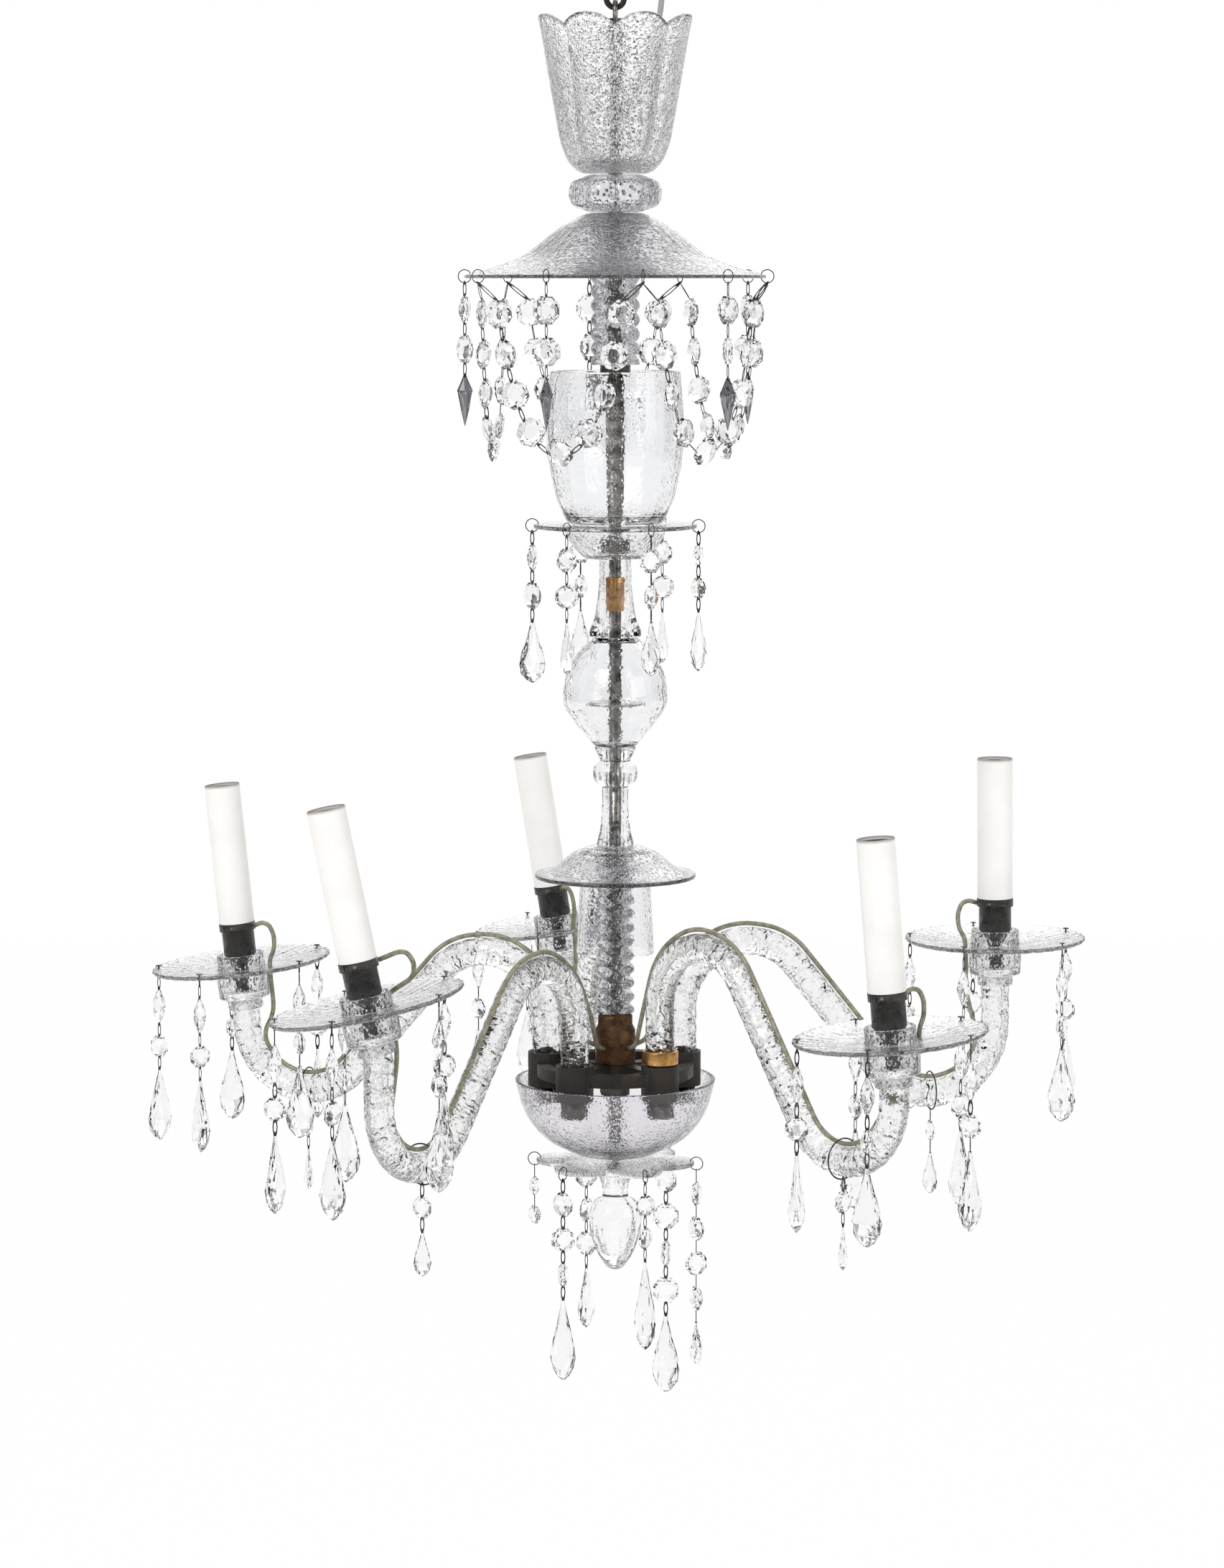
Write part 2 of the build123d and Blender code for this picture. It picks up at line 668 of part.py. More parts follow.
def bobeche_height():
    return seat_gap * 2 + cup_lower_height


def bobeche(wire_side):
    # A round drip pan that rises to its rim, bored for the cup, the wire and its strings
    base, hole = bobeche_height(), cup_upper_radius + bore_clearance
    flat, wall = cup_seat_radius + bobeche_flat, bobeche_thickness
    pan = turned((hole, base), (flat, base, 1.5), (bobeche_radius, base + bobeche_rise),
                 (bobeche_radius, base + bobeche_rise + wall), (flat, base + wall), (hole, base + wall))
    wire_hole = extrude(Circle(wire_hole_radius), 4 * wall, both=True)
    pan -= Pos(*polar(wire_stand, 180 + wire_side, base)) * wire_hole
    string_hole = extrude(Circle(pin_hole_radius), 8 * wall, both=True)
    reach = bobeche_radius - hook_inset
    return pan - [Pos(*polar(reach, azimuth, base)) * string_hole for azimuth in bobeche_strings]


def headed_pin():
    head = Pos(0, 0, hook_wire / 2) * Box(pin_head, pin_head, hook_wire)
    return head + Pos(0, 0, (hook_wire - pin_length) / 2) * Box(hook_wire, hook_wire, pin_length)


def bobeche_crystals(number):
    # The strings hang straight down from the pan's leaning rim
    frame, pieces = candle_frame(number), []
    sloping = bobeche_radius - cup_seat_radius - bobeche_flat
    rise = bobeche_rise * (sloping - hook_inset) / sloping
    rim_middle = bobeche_height() + bobeche_thickness / 2 + rise
    for azimuth in bobeche_strings:
        hole = (frame * Pos(*polar(bobeche_radius - hook_inset, azimuth, rim_middle))).position
        place = Pos(*hole) * Pos(0, 0, bobeche_thickness / 2 + pin_lift) * Rot(0, 0, azimuth + 90 * number)
        string = hung((long_bead(26.0), 26.0), (octagon(15.0), 15.0), (pear(52.0, 24.0), 52.0))
        pieces.append(place * headed_pin())
        pieces += [place * Pos(0, 0, hook_wire / 2 - pin_length) * piece for piece in string]
    return pieces


def arm_crystals(number):
    # A wire loop round the lowest point of the arm and its lamp wire, with an octagon and a drop
    place = arm_frame(number) * Pos(arm_reach - trough_radius, 0, trough_height)
    rise = wire_radius + seat_gap
    apothem = arm_radius + bore_clearance + rise
    outer = RegularPolygon((apothem + hook_wire) / cos(pi / 8), 8, rotation=22.5)
    inner = RegularPolygon(apothem / cos(pi / 8), 8, rotation=22.5)
    place = place * Pos(0, 0, rise)
    loop = Plane.YZ * extrude(outer - inner, hook_wire / 2, both=True)
    string = hung((octagon(14.0, 5.0), 14.0), (pear(30.0, 14.0), 30.0))
    return [place * loop] + [place * Pos(0, 0, -apothem - hook_wire) * piece for piece in string]


def bend_corners(reach, height, radius, first, last, count):
    # The corners of straight runs that touch a bend's circle, from one angle of it to another
    half = (last - first) / count / 2
    corners = [polar(radius / cos(radians(half)), first + half * (2 * number + 1)) for number in range(count)]
    return [(reach + corner.X, 0, height + corner.Y) for corner in corners]


def lamp_wire(number):
    # From the holder's side down through the pan and past the cup, then along the top of the arm into the hub
    arm, candle = arm_frame(number), candle_frame(number)
    side = wire_sides[number]
    pan, start = bobeche_height(), flange_bottom + flange_height / 2
    reach, turn = wire_loops[number], wire_turns[number]
    beside = (
        (flange_radius + 2 * seat_gap, turn, start), (reach - 8, turn, start + 2), (reach - 3, turn, start),
        (reach, turn, start - 7), (reach - 0.5, turn * 0.8, start - 17), (wire_stand + 0.3, 0, pan + 7),
        (wire_stand - 0.3, 0, pan - 6), (wire_stand, -0.4 * side, -12))
    points = [(candle * Pos(*polar(away, 180 + side + angle, height))).position
              for away, angle, height in beside]
    peak, trough, slope = arm_bends(number)
    offset = arm_radius + wire_radius + 2 * seat_gap
    along = bend_corners(arm_reach - trough_radius, trough, trough_radius - offset, 360, 270 - slope, 4)
    along += bend_corners(peak_radius, peak, peak_radius + offset, 90 - slope, 165, 3)
    points += [(arm * Pos(*point)).position for point in along]
    azimuth = first_socket_azimuth + 360 / arm_count * number
    barrel = hub_top - hub_height + hub_barrel_height / 2
    into_hub = ((29, barrel + 22), (23, barrel + 3), (hub_radius + 2 * seat_gap, barrel))
    points += [polar(radius, azimuth, height) for radius, height in into_hub]
    return swept_wire(points, wire_radius, f"lamp wire {number + 1}")


def swept_wire(points, radius, name):
    # Straight runs joined by arcs, each arc as large as its two runs allow
    points = [Vector(*point) for point in points]
    radii = []
    for before, here, after in zip(points, points[1:], points[2:]):
        turn = radians((here - before).get_angle(after - here))
        radii.append(0.45 * min((here - before).length, (after - here).length) / tan(turn / 2))
    route = FilletPolyline(*points, radius=radii)
    wire = sweep(Plane(route @ 0, z_dir=route % 0) * Circle(radius), path=route)
    share = wire.volume / (pi * radius * radius * route.length)
    print(name, "length", round(route.length), "radii", [round(r) for r in radii], "volume", round(share, 4))
    return wire


def garland(number, hook_azimuths):
    # A catenary of octagons in the upright plane between two hooks
    left = (at_rim(canopy_radius, hook_azimuths[0], canopy_rim_middle) * Pos(0, 0, -hook_bottom)).position
    right = (at_rim(canopy_radius, hook_azimuths[1], canopy_rim_middle) * Pos(0, 0, -hook_bottom)).position
    chord = (right - left).normalized()
    middle = (left + right) / 2
    half_span = (right - left).length / 2 - garland_spread
    low, high = 1.0, 500.0
    for _ in range(60):
        steepness = (low + high) / 2
        if steepness * (cosh(half_span / steepness) - 1) > garland_sag - garland_entry:
            low = steepness
        else:
            high = steepness
    half_length = steepness * sinh(half_span / steepness)
    pitch = octagon_size + link_length + 2 * link_gap
    count = round(2 * half_length / pitch)
    gap = 2 * half_length / count
    pieces = []

    def on_curve(length):
        along = steepness * asinh(length / steepness)
        return middle + chord * along + Vector(0, 0, steepness * (cosh(along / steepness) - 1) - garland_sag)

    def between(shape, start, end, turn=0.0):
        # Shape hangs along -Z from its origin: lay it from start to end, its face square to the garland
        away = end - start
        face = chord.cross(Vector(0, 0, 1))
        return Plane(start, x_dir=face, z_dir=-away) * Rot(0, 0, turn) * shape

    for bead in range(count):
        start = on_curve(-half_length + gap * bead + (gap - octagon_size) / 2)
        end = on_curve(-half_length + gap * (bead + 1) - (gap - octagon_size) / 2)
        turn = 22 * sin(1.9 * bead + number) if 0 < bead < count - 1 else 0.0
        pieces.append(between(octagon(), start, end, turn))
        if bead:
            wire_end = start + (start - last_end).normalized() * -link_gap
            wire_start = last_end + (start - last_end).normalized() * link_gap
            pieces.append(between(wire_link((wire_end - wire_start).length), wire_start, wire_end))
        else:
            pieces.append(hook_wire_link(left, start, between))
        last_end = end
    pieces.append(hook_wire_link(right, last_end, between))
    return pieces


def hook_wire_link(hook, bead_end, between):
    way = (bead_end - hook).normalized()
    start, end = hook + way * 1.2, bead_end - way * link_gap
    return between(wire_link((end - start).length), start, end)


def supply_terminal():
    # A two-way terminal block with its two screws
    width, depth, height = terminal_size
    x, y, bottom = flex_points[0]
    block = Pos(x, y, bottom + seat_gap + height / 2) * Box(width, depth, height)
    block = fillet(block.edges(), 1.2)
    screw = Rot(90, 0, 0) * Cylinder(2.0, 4.0)
    seats = [Pos(x + offset, y - depth / 2, bottom + seat_gap + height / 2) * screw for offset in (-3.6, 3.6)]
    return block - seats


canopy_hooks = [canopy_hook_azimuth - 36 * number for number in range(10)]
garland_hooks, drop_hooks = canopy_hooks[0::2], canopy_hooks[1::2]
middle_hooks = [middle_hook_azimuth - 60 * number for number in range(6)]
bottom_hooks = [bottom_hook_azimuth - 60 * number for number in range(petal_count)]
sockets = [first_socket_azimuth + 360 / arm_count * number for number in range(arm_count)]

save("suspension_link", suspension_link())
save("central_rod", central_rod())
save("ceiling_cup", ceiling_cup())
save("neck_knop", neck_knop())
save("canopy_dish", bell(canopy_top, canopy_height, canopy_hub_radius, canopy_shoulder_radius,
                         canopy_radius, canopy_hooks))
save("upper_twist_column", rope_column(upper_column_top, upper_column_length, upper_column_radius, bore))
save("fluted_vase", fluted_vase())
save("middle_dish", middle_dish(middle_hooks))
save("trumpet_stem", trumpet_stem())
save("glass_baluster", glass_baluster())
save("spindle", spindle())
save("lower_canopy", bell(lower_canopy_top, lower_canopy_height, lower_canopy_hub_radius,
                          lower_canopy_shoulder_radius, lower_canopy_radius, []))
save("outer_glass_tube", tumbler())
save("lower_twist_column", rope_column(lower_column_top, lower_column_length, lower_column_radius, bore))
save("wiring_hub", wiring_hub())
save("receiver_plate", receiver(sockets))
bolts = [Pos(*polar(socket_circle_radius, azimuth)) * arm_bolt() for azimuth in sockets]
save("bolts_and_nuts", collar(collar_top, bore), collar(lower_collar_top, wide_bore), rod_nut(), *bolts)
save("receiver_bowl", receiver_bowl())
save("bottom_dish", bottom_dish(bottom_hooks))
save("finial_ball", finial())
save("hook_rings", *[at_rim(canopy_radius, azimuth, canopy_rim_middle) * hook_ring()
                     for azimuth in garland_hooks])
save("supply_cord", swept_wire(flex_points, flex_radius, "supply flex"))
save("supply_terminal", supply_terminal())

arms = range(arm_count)
for number in arms:
    save(f"arm_{number + 1}", glass_arm(number))
    save(f"candle_sleeve_{number + 1}", candle_frame(number) * candle_sleeve())
save("candle_cups", *[candle_frame(number) * candle_cup() for number in arms])
save("lampholders", *[candle_frame(number) * lampholder() for number in arms])
save("bobeches", *[candle_frame(number) * bobeche(wire_sides[number]) for number in arms])
save("lamp_wires", *[lamp_wire(number) for number in arms])
save("arm_crystals", *[piece for number in arms for piece in bobeche_crystals(number) + arm_crystals(number)])

for number in range(5):
    ends = garland_hooks[number], garland_hooks[(number + 1) % 5]
    save(f"canopy_garland_{number + 1}", *garland(number, ends))
    beads = octagons(2) + [(spear(), 35.0)]
    save(f"canopy_drop_{number + 1}", *rim_drop(canopy_radius, drop_hooks[number], canopy_rim_middle, *beads))
middle_rim = middle_top - rim_thickness / 2
for number, azimuth in enumerate(middle_hooks):
    size, height, width = middle_strings[number]
    beads = octagons(2, size) + [(pear(height, width), height)]
    save(f"middle_drop_{number + 1}", *rim_drop(middle_rim_radius, azimuth, middle_rim, *beads))
bottom_rim = bottom_dish_top - 3 - rim_thickness / 2 - 0.3
for number, azimuth in enumerate(bottom_hooks):
    count, size, height, width = bottom_strings[number]
    beads = octagons(count, size) + ([(pear(height, width), height)] if height else [])
    save(f"bottom_drop_{number + 1}", *rim_drop(bottom_dish_radius, azimuth, bottom_rim, *beads))
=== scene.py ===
import math
import bmesh
import bpy
import numpy as np
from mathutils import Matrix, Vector


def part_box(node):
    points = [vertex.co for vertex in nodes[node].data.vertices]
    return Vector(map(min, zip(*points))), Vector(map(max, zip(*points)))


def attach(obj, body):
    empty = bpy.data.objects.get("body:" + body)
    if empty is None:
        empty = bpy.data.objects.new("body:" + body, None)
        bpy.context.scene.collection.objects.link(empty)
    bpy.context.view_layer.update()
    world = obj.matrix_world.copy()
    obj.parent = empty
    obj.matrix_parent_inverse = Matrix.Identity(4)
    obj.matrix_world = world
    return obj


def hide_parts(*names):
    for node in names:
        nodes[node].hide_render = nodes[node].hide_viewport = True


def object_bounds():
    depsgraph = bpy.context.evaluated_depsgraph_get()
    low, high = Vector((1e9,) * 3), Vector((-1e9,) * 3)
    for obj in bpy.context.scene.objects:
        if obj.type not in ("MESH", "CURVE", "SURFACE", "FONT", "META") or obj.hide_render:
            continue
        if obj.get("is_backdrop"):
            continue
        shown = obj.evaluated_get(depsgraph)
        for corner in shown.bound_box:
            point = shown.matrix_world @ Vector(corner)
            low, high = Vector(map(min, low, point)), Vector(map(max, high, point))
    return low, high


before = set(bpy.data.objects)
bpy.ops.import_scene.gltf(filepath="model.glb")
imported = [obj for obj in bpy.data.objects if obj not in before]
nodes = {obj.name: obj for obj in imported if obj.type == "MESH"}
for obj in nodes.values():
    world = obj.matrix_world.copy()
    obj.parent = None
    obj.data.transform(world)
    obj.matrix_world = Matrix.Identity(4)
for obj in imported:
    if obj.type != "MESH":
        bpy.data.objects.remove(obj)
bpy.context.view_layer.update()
mm = 0.001
mergeGap = 2e-6  # m, corners nearer than this are one
armCount = 5

camera = {"place": (-0.00224, -2.988, -0.2175), "tiltDown": 4.223, "shift": -0.12, "lens": 99.417,
          "sensor": 36.0, "farthest": 60.0}


def linked(name, data):
    # An object round its data, put into the scene
    piece = bpy.data.objects.new(name, data)
    bpy.context.scene.collection.objects.link(piece)
    return piece


def addCamera():
    data = bpy.data.cameras.new("camera")
    data.lens = camera["lens"]
    data.sensor_fit = "VERTICAL"
    data.sensor_height = camera["sensor"]
    data.shift_y = camera["shift"]
    data.clip_end = camera["farthest"]
    piece = linked("camera", data)
    piece.location = camera["place"]
    piece.rotation_euler = (math.radians(90 - camera["tiltDown"]), 0, 0)
    bpy.context.scene.camera = piece


addCamera()
print("camera")


# Shader nodes: a socket is set to a value, or to a link given as (node, output)

def join(tree, source, node, name):
    tree.links.new(source[0].outputs[source[1]], node.inputs[name])


def addNode(tree, kind, sockets=None, **settings):
    made = tree.nodes.new(kind)
    for name, value in settings.items():
        setattr(made, name, value)
    for name, value in (sockets or {}).items():
        if isinstance(value, tuple) and hasattr(value[0], "outputs"):
            join(tree, value, made, name)
        else:
            made.inputs[name].default_value = value
    return made


def remap(tree, source, edge, tone=(0.0, 1.0)):
    # A value spread from one range over another, and held inside it
    sockets = {"Value": source, "From Min": edge[0], "From Max": edge[1],
               "To Min": tone[0], "To Max": tone[1]}
    return addNode(tree, "ShaderNodeMapRange", sockets), "Result"


def calculate(tree, operation, first, second=None, clamp=False):
    sockets = {0: first} if second is None else {0: first, 1: second}
    return addNode(tree, "ShaderNodeMath", sockets, operation=operation, use_clamp=clamp), "Value"


def mixColours(tree, share, first, second):
    sockets = {"Factor": share, "A": first, "B": second}
    return addNode(tree, "ShaderNodeMix", sockets, data_type="RGBA"), "Result"


def addRelief(tree, shader, height, strength, depth):
    relief = addNode(tree, "ShaderNodeBump", {"Height": height, "Strength": strength, "Distance": depth})
    join(tree, (relief, "Normal"), shader, "Normal")


def objectCoords(tree):
    return addNode(tree, "ShaderNodeTexCoord"), "Object"


def newMaterial(name, **sockets):
    material = bpy.data.materials.new(name)
    material.use_nodes = True
    tree = material.node_tree
    shader = next(n for n in tree.nodes if n.type == "BSDF_PRINCIPLED")
    for socket, value in sockets.items():
        shader.inputs[socket.replace("_", " ")].default_value = value
    return material, tree, shader


def newGroup(name, inputs, outputs):
    group = bpy.data.node_groups.new(name, "ShaderNodeTree")
    for label, kind, value in inputs:
        socket = group.interface.new_socket(label, in_out="INPUT", socket_type=kind)
        if value is not None:
            socket.default_value = value
    for label, kind in outputs:
        group.interface.new_socket(label, in_out="OUTPUT", socket_type=kind)
    return group, group.nodes.new("NodeGroupInput"), group.nodes.new("NodeGroupOutput")


skinLooks = {"rippleDetail": 3.0, "pitEdge": (0.0, 0.42)}


def mouldedGroup():
    # The orange-peel skin and seed bubbles of pressed glass: coarse noise less small round pits,
    # out as a height, and a mask of the pits
    group, entry, leave = newGroup("mouldedSkin", [
        ("Vector", "NodeSocketVector", None), ("Ripple", "NodeSocketFloat", 120.0),
        ("Pits", "NodeSocketFloat", 260.0), ("Pit Depth", "NodeSocketFloat", 0.5)],
        [("Height", "NodeSocketFloat"), ("Pit Mask", "NodeSocketFloat")])
    ripple = addNode(group, "ShaderNodeTexNoise", {
        "Vector": (entry, "Vector"), "Scale": (entry, "Ripple"), "Detail": skinLooks["rippleDetail"]})
    cells = addNode(group, "ShaderNodeTexVoronoi", {"Vector": (entry, "Vector"), "Scale": (entry, "Pits")})
    pits = remap(group, (cells, "Distance"), skinLooks["pitEdge"], (1.0, 0.0))
    deep = calculate(group, "MULTIPLY", pits, (entry, "Pit Depth"))
    join(group, calculate(group, "SUBTRACT", (ripple, "Fac"), deep), leave, "Height")
    join(group, pits, leave, "Pit Mask")
    return group


wearLooks = {"detail": 6.0, "broken": 0.65, "toneEdge": (0.38, 0.62), "roughEdge": (0.35, 0.65)}


def wearGroup():
    # Handling wear: one noise gives the tone, the roughness and the height
    group, entry, leave = newGroup("metalWear", [
        ("Vector", "NodeSocketVector", None), ("Clean", "NodeSocketColor", (0.5, 0.5, 0.5, 1)),
        ("Soiled", "NodeSocketColor", (0.2, 0.2, 0.2, 1)), ("Scale", "NodeSocketFloat", 60.0),
        ("Smooth", "NodeSocketFloat", 0.25), ("Rough", "NodeSocketFloat", 0.6)],
        [("Color", "NodeSocketColor"), ("Roughness", "NodeSocketFloat"), ("Height", "NodeSocketFloat")])
    broad = addNode(group, "ShaderNodeTexNoise", {
        "Vector": (entry, "Vector"), "Scale": (entry, "Scale"), "Detail": wearLooks["detail"],
        "Roughness": wearLooks["broken"]}), "Fac"
    spread = remap(group, broad, wearLooks["toneEdge"])
    join(group, mixColours(group, spread, (entry, "Clean"), (entry, "Soiled")), leave, "Color")
    rough = remap(group, broad, wearLooks["roughEdge"], ((entry, "Smooth"), (entry, "Rough")))
    join(group, rough, leave, "Roughness")
    join(group, broad, leave, "Height")
    return group


mouldedSkin, metalWear = mouldedGroup(), wearGroup()
reliefDepth = {"glass": 0.002, "metal": 0.0004, "card": 0.0005}  # m


def glassMaterial(name, tint, roughness, ior, ripple, pits, pitDepth, bump, pitTint=None):
    material, tree, shader = newMaterial(name, Transmission_Weight=1.0, IOR=ior, Roughness=roughness,
                                         Base_Color=(*tint, 1))
    skin = addNode(tree, "ShaderNodeGroup", {
        "Vector": objectCoords(tree), "Ripple": ripple, "Pits": pits, "Pit Depth": pitDepth},
        node_tree=mouldedSkin)
    addRelief(tree, shader, (skin, "Height"), bump, reliefDepth["glass"])
    if pitTint:
        join(tree, mixColours(tree, (skin, "Pit Mask"), (*tint, 1), (*pitTint, 1)), shader, "Base Color")
    return material


def wornMaterial(name, clean, soiled, grain, smooth, rough, metallic=1.0, bump=0.15):
    material, tree, shader = newMaterial(name, Metallic=metallic)
    wear = addNode(tree, "ShaderNodeGroup", {
        "Vector": objectCoords(tree), "Clean": (*clean, 1), "Soiled": (*soiled, 1), "Scale": grain,
        "Smooth": smooth, "Rough": rough}, node_tree=metalWear)
    join(tree, (wear, "Color"), shader, "Base Color")
    join(tree, (wear, "Roughness"), shader, "Roughness")
    addRelief(tree, shader, (wear, "Height"), bump, reliefDepth["metal"])
    return material


glasses = {  # tint, roughness, index of refraction, ripples and pits per metre, pit depth, bump, pits' tint
    "clearGlass": ((0.955, 0.958, 0.965), 0.02, 1.5, 45.0, 300.0, 0.25, 0.25),
    "panGlass": ((0.95, 0.95, 0.955), 0.04, 1.45, 90.0, 420.0, 0.8, 0.35),
    "stippledGlass": ((0.95, 0.945, 0.955), 0.05, 1.5, 230.0, 430.0, 1.7, 0.55, (0.76, 0.75, 0.78)),
    "canopyGlass": ((0.90, 0.888, 0.905), 0.10, 1.5, 230.0, 400.0, 1.7, 0.45, (0.70, 0.685, 0.715)),
    "columnGlass": ((0.74, 0.74, 0.76), 0.04, 1.5, 110.0, 330.0, 0.9, 0.6, (0.36, 0.35, 0.38)),
    "armGlass": ((0.90, 0.905, 0.90), 0.04, 1.5, 95.0, 280.0, 1.0, 0.55, (0.60, 0.59, 0.60)),
    "bowlGlass": ((0.90, 0.885, 0.91), 0.1, 1.46, 60.0, 420.0, 0.5, 0.25),
    "cutCrystal": ((0.97, 0.972, 0.98), 0.005, 1.58, 20.0, 150.0, 0.1, 0.05),
    "darkCrystal": ((0.16, 0.155, 0.17), 0.02, 1.6, 20.0, 150.0, 0.1, 0.05)}
metals = {  # clean and soiled tones, spots per metre, roughness where clean and soiled, metallic, bump
    "darkSteel": ((0.16, 0.145, 0.13), (0.05, 0.045, 0.04), 110.0, 0.3, 0.6),
    "crystalWire": ((0.14, 0.135, 0.13), (0.04, 0.038, 0.035), 200.0, 0.3, 0.55),
    "blackIron": ((0.016, 0.015, 0.015), (0.045, 0.035, 0.027), 70.0, 0.35, 0.7, 0.3, 0.4),
    "rustBrown": ((0.22, 0.11, 0.05), (0.07, 0.04, 0.025), 120.0, 0.35, 0.75, 0.7, 0.5),
    "platedSteel": ((0.55, 0.55, 0.54), (0.28, 0.27, 0.25), 90.0, 0.18, 0.45),
    "orangeBrass": ((0.80, 0.44, 0.15), (0.36, 0.19, 0.07), 80.0, 0.22, 0.5),
    "rodSteel": ((0.46, 0.44, 0.41), (0.04, 0.036, 0.032), 170.0, 0.25, 0.6),
    "goldFlex": ((0.36, 0.345, 0.25), (0.19, 0.18, 0.13), 240.0, 0.3, 0.55, 0.1, 0.6)}
plastics = {  # as the metals
    "bakelite": ((0.018, 0.017, 0.017), (0.05, 0.046, 0.042), 55.0, 0.18, 0.42, 0.0, 0.12),
    "greyFlex": ((0.46, 0.46, 0.47), (0.33, 0.33, 0.34), 60.0, 0.35, 0.55, 0.0, 0.1),
    "terminalPlastic": ((0.72, 0.72, 0.70), (0.55, 0.54, 0.50), 45.0, 0.3, 0.5, 0.0, 0.1)}
finishes = {name: glassMaterial(name, *values) for name, values in glasses.items()}
finishes |= {name: wornMaterial(name, *values) for name, values in (metals | plastics).items()}
print("materials", len(finishes))


# Shapes as whole arrays, in mm

sharpFrom = {"glass": 38.0, "rope": 50.0, "arm": 60.0, "card": 50.0, "wire": 50.0, "cut": 1.0, "metal": 32.0}


def newPiece(name, verts, faces, finish, body, slot, sharp="glass", replaced=()):
    # A mesh from arrays, with its faces pointed outwards
    mesh = bpy.data.meshes.new(name)
    mesh.from_pydata((np.asarray(verts, float) * mm).tolist(), [], [list(face) for face in faces])
    mesh.validate()
    shape = bmesh.new()
    shape.from_mesh(mesh)
    bmesh.ops.recalc_face_normals(shape, faces=shape.faces)
    shape.to_mesh(mesh)
    shape.free()
    return finishedPiece(name, mesh, finish, body, sharp, replaced)


def finishedPiece(name, mesh, finish, body, sharp, replaced):
    # Smooth apart from edges sharper than its kind's angle, with its finish, on its CAD body, and in
    # place of the CAD nodes that it stands for
    mesh.polygons.foreach_set("use_smooth", np.ones(len(mesh.polygons), bool))
    mesh.set_sharp_from_angle(angle=math.radians(sharpFrom[sharp]))
    mesh.materials.append(finishes[finish])
    piece = linked(name, mesh)
    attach(piece, body)
    if replaced:
        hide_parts(*replaced)
    return piece


def gridFaces(rows, columns, closedRows=True):
    # Quads of a grid of points, row by row, joined round along each row, and from last row to first
    # where it is closed
    r = np.arange(rows if closedRows else rows - 1)
    r, c = np.meshgrid(r, np.arange(columns), indexing="ij")
    near, far = r * columns, (r + 1) % rows * columns
    nextColumn = (c + 1) % columns
    return np.stack([near + c, near + nextColumn, far + nextColumn, far + c], -1).reshape(-1, 4)


def roundedLine(points, steps=5, most=0.45):
    # A closed line with corners of radius, height and rounding: each corner is cut back by its rounding
    # along both sides, or by the share most of the shorter side, and a quadratic curve joins the cuts
    pts = np.array([p[:2] for p in points], float)
    cuts = np.array([p[2] if len(p) > 2 else 0.0 for p in points])
    before, after = np.roll(pts, 1, 0), np.roll(pts, -1, 0)
    lengthBefore = np.linalg.norm(pts - before, axis=1)
    lengthAfter = np.linalg.norm(after - pts, axis=1)
    cut = np.minimum(cuts, most * np.minimum(lengthBefore, lengthAfter))
    start = pts + (before - pts) * (cut / lengthBefore)[:, None]
    end = pts + (after - pts) * (cut / lengthAfter)[:, None]
    t = np.linspace(0, 1, steps)[None, :, None]
    curve = (1 - t) ** 2 * start[:, None] + 2 * t * (1 - t) * pts[:, None] + t ** 2 * end[:, None]
    return np.concatenate([curve[i] if cut[i] > 0 else pts[i:i + 1] for i in range(len(pts))])


def profileLine(settings):
    # The rounded profile with more points on runs longer than the given length, in equal steps
    line = roundedLine(settings["profile"], settings["steps"])
    ends = np.roll(line, -1, 0)
    counts = np.ceil(np.linalg.norm(ends - line, axis=1) / settings["longest"])
    counts = np.maximum(1, counts).astype(int)
    return np.concatenate([a + (b - a) * (np.arange(n) / n)[:, None] for a, b, n in zip(line, ends, counts)])


def fullTurn(columns):
    return np.linspace(0, 2 * np.pi, columns, endpoint=False)


def turnedPoints(line, columns, shape=None):
    # Point (radius r, height z) of the profile goes to (r' cos a, r' sin a, z'), where the shape
    # function gives r' and z' from r, z and the angle a
    angle = fullTurn(columns)
    radius = np.repeat(line[:, :1], columns, 1)
    height = np.repeat(line[:, 1:2], columns, 1)
    if shape:
        radius, height = shape(radius, height, np.broadcast_to(angle, radius.shape))
    return np.stack([radius * np.cos(angle), radius * np.sin(angle), height], -1).reshape(-1, 3)


def turnedPiece(name, settings, shape=None):
    # A glass piece turned about the column's axis from its settings' profile, which is measured
    # from the axis and down from the top of its CAD node
    line = profileLine(settings)
    line[:, 1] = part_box(name)[1].z / mm - line[:, 1]
    columns = settings["columns"]
    newPiece(name + "Looks", turnedPoints(line, columns, shape), gridFaces(len(line), columns),
             settings["finish"], "column", "moulded_glass", replaced=(name,))


def ribWave(angle, ribs):
    # 0 on the crest of each rib and 1 in the groove between two: one minus |cos| of half the ribs' phase
    return 1 - np.abs(np.cos(angle * ribs / 2))


def fadeIn(values, start, reach):
    return np.clip((values - start) / reach, 0, 1)


# The column, from the top down

